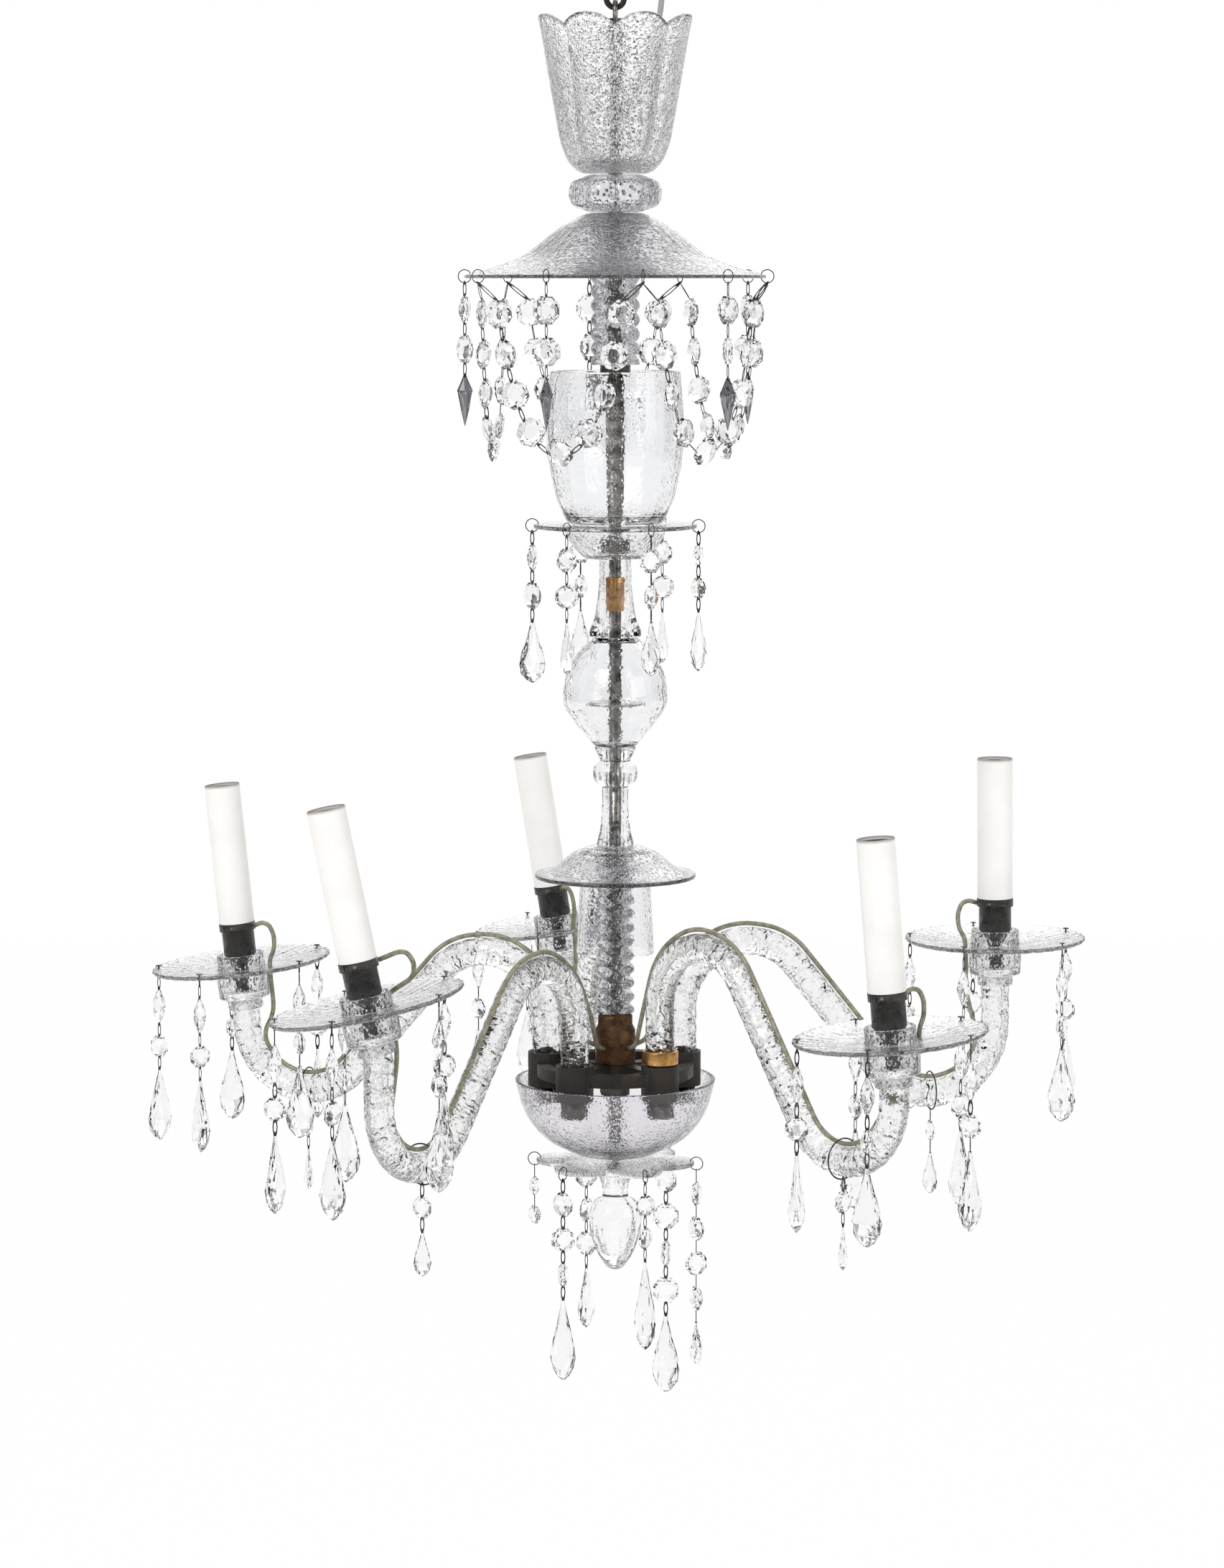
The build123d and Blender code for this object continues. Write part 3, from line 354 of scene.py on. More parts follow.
ceilingCup = {
    "finish": "stippledGlass", "columns": 192, "steps": 6, "longest": 2.5, "lobes": 8, "groove": 4.2,
    "lobesFrom": 12, "lobesReach": 20, "rimNotch": 8.5, "notchReach": 25, "notchPower": 1.15,
    "profile": [(5.4, 108.5), (25, 108.5, 5), (34, 101, 6), (39.5, 88, 12), (45.4, 56, 25), (55, 0.6, 0.8),
                (52, 0, 0.8), (49.5, 1, 1.5), (41, 52, 25), (35, 86, 12), (28, 99.5, 6), (5.4, 102.5)]}
neckKnop = {
    "finish": "columnGlass", "columns": 192, "steps": 9, "longest": 1.5, "lobes": 8, "groove": 3.2,
    "lobesFrom": 8, "lobesReach": 20,
    "profile": [(5.4, 0.1), (18, 0.1, 3), (33.5, 5, 9), (33.5, 21, 9), (18, 26, 3), (5.4, 26)]}


def lobedRadius(settings, radius, angle):
    # Lobes: past the hub the radius falls to a groove where |sin| of half the lobes' phase is nil
    dip = 1 - np.abs(np.sin(angle * settings["lobes"] / 2))
    outward = fadeIn(radius, settings["lobesFrom"], settings["lobesReach"])
    return radius - settings["groove"] * dip * outward, dip


def cupShape(radius, height, angle):
    # The rim dips at each groove
    radius, dip = lobedRadius(ceilingCup, radius, angle)
    nearRim = fadeIn(height, height.max() - ceilingCup["notchReach"], ceilingCup["notchReach"]) ** 2
    return radius, height - ceilingCup["rimNotch"] * dip ** ceilingCup["notchPower"] * nearRim


def knopShape(radius, height, angle):
    return lobedRadius(neckKnop, radius, angle)[0], height


turnedPiece("ceiling_cup", ceilingCup, cupShape)
turnedPiece("neck_knop", neckKnop, knopShape)

canopyDish = {
    "finish": "canopyGlass", "columns": 192, "steps": 7, "longest": 3.0, "ribs": 40, "ribDepth": 0.6,
    "ribsFrom": 26, "ribsReach": 30,
    "profile": [(5.4, 0), (20, 0, 4), (38, 9.5, 8), (50.5, 19.5, 9), (61.5, 28.7, 10), (82, 37, 14),
                (104, 42.6, 1.2), (104, 45, 1.2), (80, 40.6, 14), (59, 32, 10), (47.5, 22.6, 9),
                (35.5, 13, 8), (19, 4.4, 4), (5.4, 4.4)]}


def canopyShape(radius, height, angle):
    # Shallow ribs run down the bell and fade at its hub
    fade = fadeIn(radius, canopyDish["ribsFrom"], canopyDish["ribsReach"])
    return radius - canopyDish["ribDepth"] * fade * ribWave(angle, canopyDish["ribs"]), height


turnedPiece("canopy_dish", canopyDish, canopyShape)

upperColumn = {"finish": "columnGlass", "bore": 5.4, "pitch": 9.9, "starts": 2, "groove": 2.6, "rows": 130,
               "columns": 96}
lowerColumn = {"finish": "columnGlass", "bore": 5.4, "pitch": 9.7, "starts": 2, "groove": 3.6, "rows": 140,
               "columns": 96}


def ropeColumn(name, settings):
    # A twisted column: the outer radius less the groove times the rib wave of a phase that grows
    # with the height over the pitch and with the angle times the starts
    low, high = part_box(name)
    foot, top = low.z / mm, high.z / mm
    outer, bore = (high.x - low.x) / 2 / mm, settings["bore"]
    heights = np.linspace(top, foot, settings["rows"])
    line = np.concatenate([np.stack([np.full(settings["rows"], outer), heights], -1),
                           [[bore, foot], [bore, top]]])

    def shape(radius, height, angle):
        phase = 2 * np.pi * height / settings["pitch"] + settings["starts"] * angle
        return np.where(radius > bore, radius - settings["groove"] * ribWave(phase, 1), radius), height

    newPiece(name + "Looks", turnedPoints(line, settings["columns"], shape),
             gridFaces(len(line), settings["columns"]), settings["finish"], "column", "moulded_glass",
             "rope", (name,))


ropeColumn("upper_twist_column", upperColumn)
ropeColumn("lower_twist_column", lowerColumn)

flutedVase = {
    "finish": "clearGlass", "columns": 240, "steps": 7, "longest": 3.5, "flutes": 20, "depth": 0.45,
    "rimFade": 8, "footFade": 6, "flutesFrom": 30,
    "profile": [(8.4, 105), (33, 105, 3), (41, 88, 18), (46.5, 62, 18), (48, 40, 18), (45, 0.5, 1.0),
                (43.3, 0, 0.6), (41.8, 0.8, 1.0), (43.8, 40, 18), (42.3, 62, 18), (36.8, 88, 14),
                (31.5, 99, 4), (8.4, 99)]}


def vaseShape(radius, height, angle):
    # Flutes on the outside only, which is the first half of the profile; they fade at rim and foot
    outside = np.zeros_like(radius)
    outside[:len(radius) // 2] = 1
    fade = (fadeIn(height.max() - height, 0, flutedVase["rimFade"])
            * fadeIn(height, height.min(), flutedVase["footFade"]))
    flutes = flutedVase["depth"] * ribWave(angle, flutedVase["flutes"])
    return radius - flutes * outside * fade * (radius > flutedVase["flutesFrom"]), height


turnedPiece("fluted_vase", flutedVase, vaseShape)

middleDish = {
    "finish": "panGlass", "columns": 160, "steps": 6, "longest": 3.0,
    "profile": [(8.4, 24), (22, 24, 3), (31, 14, 8), (36, 4, 3), (56.5, 3, 1), (56.5, 0.2, 1), (34, 0, 3),
                (28.5, 11, 8), (20, 20, 3), (8.4, 20)]}
trumpetStem = {
    "finish": "clearGlass", "columns": 128, "steps": 6, "longest": 3.0,
    "profile": [(8.5, 0), (11, 0, 0.6), (11.6, 24, 14), (14.5, 42, 10), (18, 50, 3), (18, 54, 1),
                (8.5, 54, 0), (8.5, 48)]}
glassBaluster = {
    "finish": "clearGlass", "columns": 160, "steps": 9, "longest": 3.0,
    "profile": [(5.5, 76), (14, 76, 2), (27, 61, 9), (36, 48, 10), (36.4, 36, 8), (33.5, 22, 8), (25, 9, 9),
                (15, 0, 3), (5.5, 0), (5.5, 3.5), (14, 3.6, 3), (23, 12, 9), (30, 24, 8), (32.8, 37, 8),
                (32.4, 47, 10), (24.5, 58.5, 9), (13, 72.4, 3), (5.5, 72.4)]}
spindlePiece = {
    "finish": "clearGlass", "columns": 128, "steps": 9, "longest": 2.5,
    "profile": [(5.5, 0), (14.5, 0, 1), (12.5, 5, 4), (10, 9.5, 2), (15.4, 14, 4), (15.4, 23, 4),
                (9.2, 27.5, 2), (9, 40, 6), (10, 56, 8), (13, 68.4, 1), (5.5, 68.4)]}
lowerCanopy = {
    "finish": "panGlass", "columns": 160, "steps": 7, "longest": 2.5,
    "profile": [(5.5, 0), (16, 0, 3), (30, 5, 9), (40, 14.5, 8), (49, 19.2, 6), (56, 19.6, 1), (56, 22.4, 1),
                (47, 22.3, 6), (37.5, 17.5, 8), (28, 8, 9), (15, 5, 3), (5.5, 5)]}
glassTumbler = {
    "finish": "clearGlass", "columns": 128, "steps": 6, "longest": 4.0,
    "profile": [(5.5, 0), (10.4, 0, 2), (19, 6, 6), (24, 13.5, 5), (27, 70, 0.8), (24.6, 70, 0.8),
                (21.5, 15.5, 5), (17, 9, 6), (13.9, 5.2, 1), (5.5, 5)]}
finialEgg = {
    "finish": "clearGlass", "columns": 96, "steps": 9, "longest": 1.5,
    "profile": [(0.01, 67), (5, 66.4, 3), (12.5, 56, 12), (18.2, 40, 12), (18.4, 26, 8), (14.5, 18, 5),
                (9, 15.2, 1.5), (9, 7, 5), (12, 0, 1), (0.01, 0)]}
receiverBowl = {
    "finish": "bowlGlass", "columns": 160, "steps": 9, "longest": 3.0,
    "profile": [(5.5, 54), (25, 54, 6), (50, 42, 16), (64, 24, 14), (69.9, 0.6, 1), (68.4, 0, 0.6),
                (67, 0.8, 1), (61, 23, 14), (47.5, 39, 16), (24.5, 49, 6), (5.5, 49)]}

for node, settings in (("middle_dish", middleDish), ("trumpet_stem", trumpetStem),
                       ("glass_baluster", glassBaluster), ("spindle", spindlePiece),
                       ("lower_canopy", lowerCanopy), ("outer_glass_tube", glassTumbler),
                       ("finial_ball", finialEgg), ("receiver_bowl", receiverBowl)):
    turnedPiece(node, settings)

bottomDish = {
    "finish": "panGlass", "columns": 192, "steps": 6, "longest": 2.5, "petals": 6, "first": -9.0,
    "petalsFrom": 22, "petalsReach": 34, "drawnIn": 0.30, "petalPower": 0.7,
    "profile": [(5.5, 14), (13, 13.8, 3), (34, 9, 8), (55.6, 6.4, 1), (55.6, 3.6, 1), (30, 1, 6),
                (20, 0.1, 1), (5.5, 0.1)]}


def petalShape(radius, height, angle):
    # Six petals: past the hub the reach is drawn in between them with |cos| of three times the angle
    s = bottomDish
    wave = np.abs(np.cos((angle - np.radians(s["first"])) * s["petals"] / 2))
    outward = fadeIn(radius, s["petalsFrom"], s["petalsReach"])
    return radius * (1 - s["drawnIn"] * outward * (1 - wave ** s["petalPower"])), height


turnedPiece("bottom_dish", bottomDish, petalShape)
print("column")

armSettings = {
    "finish": "armGlass", "sides": 48, "step": 2.0, "ribs": 6, "ribDepth": 0.06, "lead": 62.0,
    "radius": 10.0, "reach": 231.0, "firstAzimuth": 20.0, "socketCircle": 50.0,
    "swivels": (-6.0, 7.1, -4.3, 1.5, 2.5), "peaks": (89.5, 88.0, 81.5, 85.5, 100.0), "peakRadius": 46.0,
    "trough": -25.0, "troughRadius": 48.0, "risers": (59.3, 40.7, 39.0, 64.9, 40.0), "bendDrop": 13.0,
    "bendStart": 1.5, "leans": (0.4, 9.0, 5.8, 11.5, 4.5)}


def arcPoints(x, z, radius, first, last, step):
    # x + radius cos a, z + radius sin a, between two angles in equal steps
    count = max(3, int(math.radians(abs(last - first)) * radius / step))
    angle = np.radians(np.linspace(first, last, count))
    return np.stack([x + radius * np.cos(angle), z + radius * np.sin(angle)], -1)


def socketPlace(number, height):
    azimuth = math.radians(armSettings["firstAzimuth"] + 360 / armCount * number)
    circle = armSettings["socketCircle"]
    return azimuth, np.array([circle * math.cos(azimuth), circle * math.sin(azimuth), height])


def armLine(number):
    # Up from the foot, over the peak, down a straight run, round the trough and up to the candle;
    # also the level direction across the arm
    s = armSettings
    peak, trough = s["peaks"][number] - s["peakRadius"], s["trough"] + s["troughRadius"]
    across = s["reach"] - s["peakRadius"] - s["troughRadius"]
    apart, radii = math.hypot(peak - trough, across), s["peakRadius"] + s["troughRadius"]
    slope = math.degrees(math.atan2(peak - trough, across) + math.asin(radii / apart))
    bend = s["risers"][number] - s["bendDrop"]
    flat = np.concatenate([
        [[0, 0]], arcPoints(s["peakRadius"], peak, s["peakRadius"], 180, 90 - slope, s["step"]),
        arcPoints(s["reach"] - s["troughRadius"], trough, s["troughRadius"], 270 - slope, 360, s["step"]),
        [[s["reach"], bend - s["bendStart"]]]])
    azimuth, base = socketPlace(number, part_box(f"arm_{number + 1}")[0].z / mm + s["radius"] - s["trough"])
    turned = azimuth + math.radians(s["swivels"][number])
    outward = np.array([math.cos(turned), math.sin(turned), 0])
    world = base + flat[:, :1] * outward + flat[:, 1:] * np.array([0, 0, 1])
    lean = math.radians(s["leans"][number])
    tip = base + s["reach"] * outward + [0, 0, bend]
    tip = tip + s["bendDrop"] * np.array([-math.sin(lean), 0, math.cos(lean)])
    return np.concatenate([world, [tip]]), np.array([-math.sin(turned), math.cos(turned), 0])


def evenLine(line, step):
    # The same line with points at equal steps along it
    along = np.concatenate([[0], np.cumsum(np.linalg.norm(np.diff(line, axis=0), axis=1))])
    at = np.linspace(0, along[-1], int(along[-1] / step))
    return np.stack([np.interp(at, along, line[:, k]) for k in range(3)], -1), at


def tubePoints(line, sideways, radii):
    # Rings round the line: point + radius (cos a across + sin a up), where across is the given
    # sideways direction made square to the line, and up is square to both
    ahead = np.gradient(line, axis=0)
    ahead /= np.linalg.norm(ahead, axis=1)[:, None]
    across = sideways - ahead * (ahead @ sideways)[:, None]
    across /= np.linalg.norm(across, axis=1)[:, None]
    up = np.cross(ahead, across)
    angle = fullTurn(radii.shape[1])[None, :, None]
    ring = np.cos(angle) * across[:, None] + np.sin(angle) * up[:, None]
    return (line[:, None] + radii[..., None] * ring).reshape(-1, 3)


def glassArm(number):
    # The ribs wind round the arm: the wave's angle grows by a full turn with each lead along the line
    s = armSettings
    line, sideways = armLine(number)
    line, along = evenLine(line, s["step"])
    rows, columns = len(line), s["sides"]
    angle = fullTurn(columns)[None, :] + 2 * np.pi * along[:, None] / s["lead"]
    radii = s["radius"] * (1 - s["ribDepth"] * ribWave(angle, s["ribs"]))
    faces = gridFaces(rows, columns, False).tolist()
    faces += [list(range(columns))[::-1], list(range((rows - 1) * columns, rows * columns))]
    newPiece(f"glassArm{number + 1}", tubePoints(line, sideways, radii), faces, s["finish"], "column",
             "moulded_glass", "arm", (f"arm_{number + 1}",))


for number in range(armCount):
    glassArm(number)
print("arms")


# The solids of a CAD node, for the pieces that repeat

def islandsOf(name):
    # The separate solids of a node as arrays of corners: equal places are merged, then each corner
    # takes the lowest label of its triangles until nothing changes
    mesh = nodes[name].data
    co = np.empty(len(mesh.vertices) * 3)
    mesh.vertices.foreach_get("co", co)
    tri = np.empty(len(mesh.loops), int)
    mesh.loops.foreach_get("vertex_index", tri)
    keys = np.round(co.reshape(-1, 3) / mergeGap).astype(np.int64)
    keys, index = np.unique(keys, axis=0, return_inverse=True)
    tri = index.reshape(-1)[tri].reshape(-1, 3)
    label = np.arange(len(keys))
    while True:
        fresh = label.copy()
        np.minimum.at(fresh, tri.ravel(), np.repeat(label[tri].min(1), 3))
        fresh = fresh[fresh]
        if (fresh == label).all():
            break
        label = fresh
    places = keys * mergeGap / mm
    return [places[label == root] for root in np.unique(label)]


def mainAxes(corners):
    # Centre, and directions from the longest spread to the least
    centre = corners.mean(0)
    return centre, np.linalg.svd(corners - centre, full_matrices=False)[2]


candleSettings = {"seat": 4.6, "toSleeve": 90}  # holder's foot above the arm's end, and sleeve's middle


def candleFrames():
    # The arm's end and the upward axis of each candle, from the lampholders' long axes
    frames = []
    for corners in islandsOf("lampholders"):
        centre, ways = mainAxes(corners)
        axis = ways[0] * np.sign(ways[0][2])
        reach = (corners - centre) @ axis
        frames.append((centre + axis * (reach.min() - candleSettings["seat"]), axis))
    return frames


candles = candleFrames()


def aboutAxis(points, origin, axis):
    # Points made about +Z stand on the origin along the axis
    across = np.cross([0.0, 1.0, 0.0], axis)
    across /= np.linalg.norm(across)
    return origin + points @ np.stack([across, np.cross(axis, across), axis])


def candlePieces(name, settings, shape):
    # The same turned piece at every candle, in one mesh; the profile's height is above the arm's end
    line = profileLine(settings)
    single = turnedPoints(line, settings["columns"], shape)
    faces = gridFaces(len(line), settings["columns"])
    newPiece(name + "Looks", np.concatenate([aboutAxis(single, *candle) for candle in candles]),
             np.concatenate([faces + len(single) * n for n in range(len(candles))]), settings["finish"],
             "column", "moulded_glass", replaced=(name,))


candleCup = {
    "finish": "armGlass", "columns": 96, "steps": 5, "longest": 3.0, "flutes": 12, "depth": 0.7,
    "wallRadius": 16, "wallLow": 1, "wallHigh": 17,
    "profile": [(0.2, 0.3), (10.3, 0.3), (10.3, -8, 0.5), (12.6, -8, 0.5), (12.6, -1.2, 1), (18, -0.2, 1.5),
                (19, 18.3, 0.8), (17, 18.3, 0.4), (17, 31.3, 0.6), (15, 31.3, 0.6), (15, 4.3, 1), (0.2, 4.3)]}
dripPan = {
    "finish": "panGlass", "columns": 192, "steps": 5, "longest": 3.0, "ribs": 36, "ribDepth": 0.45,
    "scallop": 0.9, "scallopPower": 4, "ribsFrom": 30, "ribsReach": 30,
    "profile": [(17.5, 18.6), (28, 18.6, 5), (62, 23.2, 3), (64, 24.6, 1), (64, 26.4, 1), (61, 26.4, 2),
                (28, 21.6, 5), (17.5, 21.6)]}


def cupFlutes(radius, height, angle):
    # Flutes on the outer wall only
    s = candleCup
    wall = (radius > s["wallRadius"]) & (height > s["wallLow"]) & (height < s["wallHigh"])
    return radius - s["depth"] * wall * ribWave(angle, s["flutes"]), height


def panShape(radius, height, angle):
    # Ribs run out to the rim, where the edge is scalloped a little
    s = dripPan
    outward = fadeIn(radius, s["ribsFrom"], s["ribsReach"])
    wave = ribWave(angle, s["ribs"])
    return (radius - s["scallop"] * wave * outward ** s["scallopPower"],
            height - s["ribDepth"] * wave * outward)


candlePieces("candle_cups", candleCup, cupFlutes)
candlePieces("bobeches", dripPan, panShape)

# The card's top edge carries painted shade: a dark tone over its last few mm, its depth and tone given here
sleeve = {
    "finish": "candleCard", "columns": 64, "radius": 12.5, "bore": 11.7, "length": 100, "rounding": 0.3,
    "longest": 2.0, "steps": 5, "unround": 0.05, "scorch": 2.2, "roughness": 0.55,
    "tones": ((0.92, 0.908, 0.892, 1), (0.865, 0.848, 0.83, 1)), "paintedShadeTone": (0.30, 0.26, 0.24, 1),
    "fibres": 35.0, "fibreDetail": 5.0, "fibreEdge": (0.4, 0.7), "bump": 0.12}


def cardWithPaintedRimShade():
    # Fibrous card, darkened at its cut top edge by painted shade standing for the shade inside the open tube,
    # where the rim shade attribute is 1
    material, tree, shader = newMaterial("cardWithPaintedRimShade", Roughness=sleeve["roughness"])
    fibres = addNode(tree, "ShaderNodeTexNoise", {
        "Vector": objectCoords(tree), "Scale": sleeve["fibres"], "Detail": sleeve["fibreDetail"]}), "Fac"
    tone = mixColours(tree, remap(tree, fibres, sleeve["fibreEdge"]), *sleeve["tones"])
    mark = addNode(tree, "ShaderNodeAttribute", attribute_name="scorch"), "Fac"
    join(tree, mixColours(tree, mark, tone, sleeve["paintedShadeTone"]), shader, "Base Color")
    addRelief(tree, shader, fibres, sleeve["bump"], reliefDepth["card"])
    return material


finishes[sleeve["finish"]] = cardWithPaintedRimShade()


def candleSleeve(number):
    # A card tube a little out of round: the radius times 1 + unround/radius sin of twice the angle
    s, name = sleeve, f"candle_sleeve_{number + 1}"
    centre = np.array(sum(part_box(name), Vector()) / 2 / mm)
    toSleeve = candleSettings["toSleeve"]
    origin, axis = min(candles, key=lambda candle: np.linalg.norm(candle[0] + toSleeve * candle[1] - centre))
    low = (centre - origin) @ axis - s["length"] / 2
    high = low + s["length"]
    line = profileLine({**s, "profile": [(s["radius"], low), (s["radius"], high, s["rounding"]),
                                         (s["bore"], high, s["rounding"]), (s["bore"], low)]})
    wobble = np.tile(1 + s["unround"] / s["radius"] * np.sin(2 * fullTurn(s["columns"])), len(line))
    points = turnedPoints(line, s["columns"]) * np.stack([wobble, wobble, np.ones_like(wobble)], -1)
    piece = newPiece(f"candleSleeve{number + 1}", aboutAxis(points, origin, axis),
                     gridFaces(len(line), s["columns"]), s["finish"], name, "candle_card", "card", (name,))
    # Painted shade: 1 at the cut top edge, falling to 0 over the rim shade depth below it
    fade = np.clip(1 - (high - points[:, 2]) / s["scorch"], 0, 1)
    piece.data.attributes.new("scorch", "FLOAT", "POINT").data.foreach_set("value", fade)


for number in range(armCount):
    candleSleeve(number)
print("candles")


# Crystals and their wires

def facetTemplate(rings, sides):
    # Rings of (along, wide, deep, half step): corners at angle 2 pi (n + half/2) / sides, joined by
    # quads, or by pairs of triangles where one ring is turned by half a step, and closed at both ends
    index = np.arange(sides)
    nextIndex = (index + 1) % sides
    verts, faces = [], []
    for along, wide, deep, half in rings:
        angle = 2 * np.pi * (index + half / 2) / sides
        verts.append(np.stack([deep * np.cos(angle), wide * np.sin(angle), np.full(sides, along)], -1))
    for k in range(len(rings) - 1):
        turn = rings[k + 1][3] - rings[k][3]
        a, aNext, b, bNext = k * sides + np.stack([index, nextIndex, index + sides, nextIndex + sides])
        if turn == 0:
            corners = [(a, aNext, bNext, b)]
        elif turn > 0:
            corners = [(a, aNext, b), (aNext, bNext, b)]
        else:
            corners = [(a, bNext, b), (a, aNext, bNext)]
        for group in corners:
            faces += np.stack(group, -1).tolist()
    faces += [index[::-1].tolist(), (index + (len(rings) - 1) * sides).tolist()]
    return np.concatenate(verts), faces


def wireRing(bigSteps, smallSteps, wire):
    # A ring of radius 1 in the XY plane, its wire's radius given as a share:
    # ((1 + w cos b) cos a, (1 + w cos b) sin a, w sin b)
    a, b = fullTurn(bigSteps)[:, None], fullTurn(smallSteps)[None, :]
    reach = 1 + wire * np.cos(b)
    points = np.stack([reach * np.cos(a), reach * np.sin(a), wire * np.sin(b) + 0 * a], -1)
    return points.reshape(-1, 3), gridFaces(bigSteps, smallSteps).tolist()


cuts = {
    "octagon": facetTemplate([(-0.5, 0.5, 0.5, 0), (-0.28, 0.83, 0.83, 1), (-0.08, 1, 1, 0), (0.08, 1, 1, 0),
                              (0.28, 0.83, 0.83, 1), (0.5, 0.5, 0.5, 0)], 8),
    "pear": facetTemplate([(0, 0.13, 0.16, 0), (0.1, 0.2, 0.24, 0), (0.3, 0.47, 0.5, 1), (0.5, 0.8, 0.8, 0),
                           (0.7, 1, 1, 1), (0.85, 0.84, 0.84, 0), (0.95, 0.46, 0.46, 1), (1, 0.08, 0.08, 0)],
                          10),
    "spear": facetTemplate([(0, 0.22, 0.24, 0), (0.06, 0.34, 0.36, 0), (0.3, 1, 1, 1), (0.36, 0.96, 0.96, 0),
                            (0.7, 0.5, 0.5, 1), (1, 0.05, 0.05, 0)], 8),
    "bead": facetTemplate([(0, 0.18, 0.18, 0), (0.08, 0.34, 0.34, 0), (0.34, 0.86, 0.86, 1), (0.5, 1, 1, 0),
                           (0.66, 0.86, 0.86, 1), (0.92, 0.34, 0.34, 0), (1, 0.18, 0.18, 0)], 8),
    "pin": facetTemplate([(0, 0.5, 0.5, 0), (0.03, 1, 1, 0), (0.09, 1, 1, 0), (0.11, 0.26, 0.26, 0),
                          (1, 0.26, 0.26, 0)], 8),
    "ring": wireRing(24, 6, 0.075), "bigRing": wireRing(36, 6, 0.04), "link": wireRing(10, 4, 0.3)}
cornerCounts = {10: "octagon", 25: "pear", 13: "spear", 18: "bead", 16: "pin", 8: "link", 32: "ring"}
wireSettings = {"kinds": ("pin", "ring", "link"), "bigRingFrom": 8, "ringShare": 0.97, "linkWide": 1.3,
                "linkSpare": 0.7, "headShare": 0.02}


def placedRing(corners):
    # A ring's middle is the middle of its box, moved along its axis to its corners' centre
    centre, ways = mainAxes(corners)
    normal = ways[2]
    middle = (corners.max(0) + corners.min(0)) / 2
    middle = middle + normal * ((centre - middle) @ normal)
    reach = np.linalg.norm(corners - middle, axis=1)
    radius = (reach.max() * wireSettings["ringShare"] + reach.min()) / 2
    shape, faces = cuts["bigRing" if radius > wireSettings["bigRingFrom"] else "ring"]
    return middle + shape * radius @ np.stack([ways[0], np.cross(normal, ways[0]), normal]), faces


def placedOctagon(corners):
    # An octagon has a corner of its rim where the solid has one, and the solid's thickness
    shape, faces = cuts["octagon"]
    centre, ways = mainAxes(corners)
    through, reach = ways[2], np.linalg.norm(corners - centre, axis=1)
    rim = corners[reach.argmax()] - centre
    rim -= through * (rim @ through)
    first = rim / np.linalg.norm(rim)
    local = shape * [reach.max(), reach.max(), np.ptp((corners - centre) @ through)]
    return centre + local @ np.stack([first, np.cross(through, first), through]), faces


def placedCut(kind, corners):
    # The template of a kind laid on a CAD solid: its axes are the solid's, its sizes the solid's reach,
    # and its start is the solid's narrower end
    if kind == "ring":
        return placedRing(corners)
    if kind == "octagon":
        return placedOctagon(corners)
    shape, faces = cuts[kind]
    centre, (along, wide, deep) = mainAxes(corners)
    away = corners - centre
    span = away @ along
    margin = wireSettings["headShare"] * np.ptp(span)
    heads = [np.linalg.norm(away[near] - np.outer(span[near], along), axis=1).max()
             for near in (span < span.min() + margin, span > span.max() - margin)]
    if heads[1] > heads[0]:
        along, span = -along, -span
    length = np.ptp(span)
    if kind == "link":
        local = shape * [wireSettings["linkWide"], length / 2 + wireSettings["linkSpare"], 1.0]
        return centre + local @ np.stack([wide, along, deep]), faces
    local = shape * [np.ptp(away @ deep) / 2, np.ptp(away @ wide) / 2, length]
    return centre + along * span.min() + local @ np.stack([deep, wide, along]), faces


def crystalPieces(name, body):
    # Each solid of the node becomes a cut crystal or a bent wire, glass and wire in a piece each
    groups = {"Crystals": [], "Wires": []}
    for corners in islandsOf(name):
        kind = cornerCounts.get(len(corners))
        if kind is None:
            print("unknown solid", name, len(corners))
            continue
        label = "Wires" if kind in wireSettings["kinds"] else "Crystals"
        groups[label].append((kind, *placedCut(kind, corners)))
    for label, group in groups.items():
        if not group:
            continue
        verts, faces, spears, offset = [], [], [], 0
        for kind, points, kindFaces in group:
            verts.append(points)
            faces += [[v + offset for v in face] for face in kindFaces]
            spears += [int(kind == "spear")] * len(kindFaces)
            offset += len(points)
        looks = (("crystalWire", body, "plated_steel", "wire") if label == "Wires"
                 else ("cutCrystal", body, "cut_crystal", "cut"))
        piece = newPiece(name + label, np.concatenate(verts), faces, *looks)
        if any(spears):
            piece.data.materials.append(finishes["darkCrystal"])
            piece.data.polygons.foreach_set("material_index", np.array(spears, np.int32))
    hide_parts(name)


crystalPieces("arm_crystals", "column")
for kinds, count in ((("canopy_garland", "canopy_drop"), 5), (("middle_drop", "bottom_drop"), 6)):
    for number in range(count):
        for kind in kinds:
            crystalPieces(f"{kind}_{number + 1}", f"{kind}_{number + 1}")
crystalPieces("hook_rings", "column")
print("crystals")


# Metal, plastic and flex

def dressedNode(name, finish, body="column"):
    # A merged copy of a CAD node, shaded smooth apart from its edges
    mesh = nodes[name].data.copy()
    shape = bmesh.new()
    shape.from_mesh(mesh)
    bmesh.ops.remove_doubles(shape, verts=shape.verts, dist=mergeGap)
    shape.to_mesh(mesh)
    shape.free()
    mesh.name = name + "Looks"
    mesh.materials.clear()
    return finishedPiece(name + "Looks", mesh, finish, body, "metal", (name,))


dressedNode("suspension_link", "blackIron", "hanger")
rodPiece = dressedNode("central_rod", "rodSteel")
dressedNode("receiver_plate", "blackIron")
dressedNode("bolts_and_nuts", "darkSteel")
dressedNode("wiring_hub", "rustBrown")
dressedNode("lampholders", "bakelite")
dressedNode("lamp_wires", "goldFlex")
terminal = dressedNode("supply_terminal", "terminalPlastic")

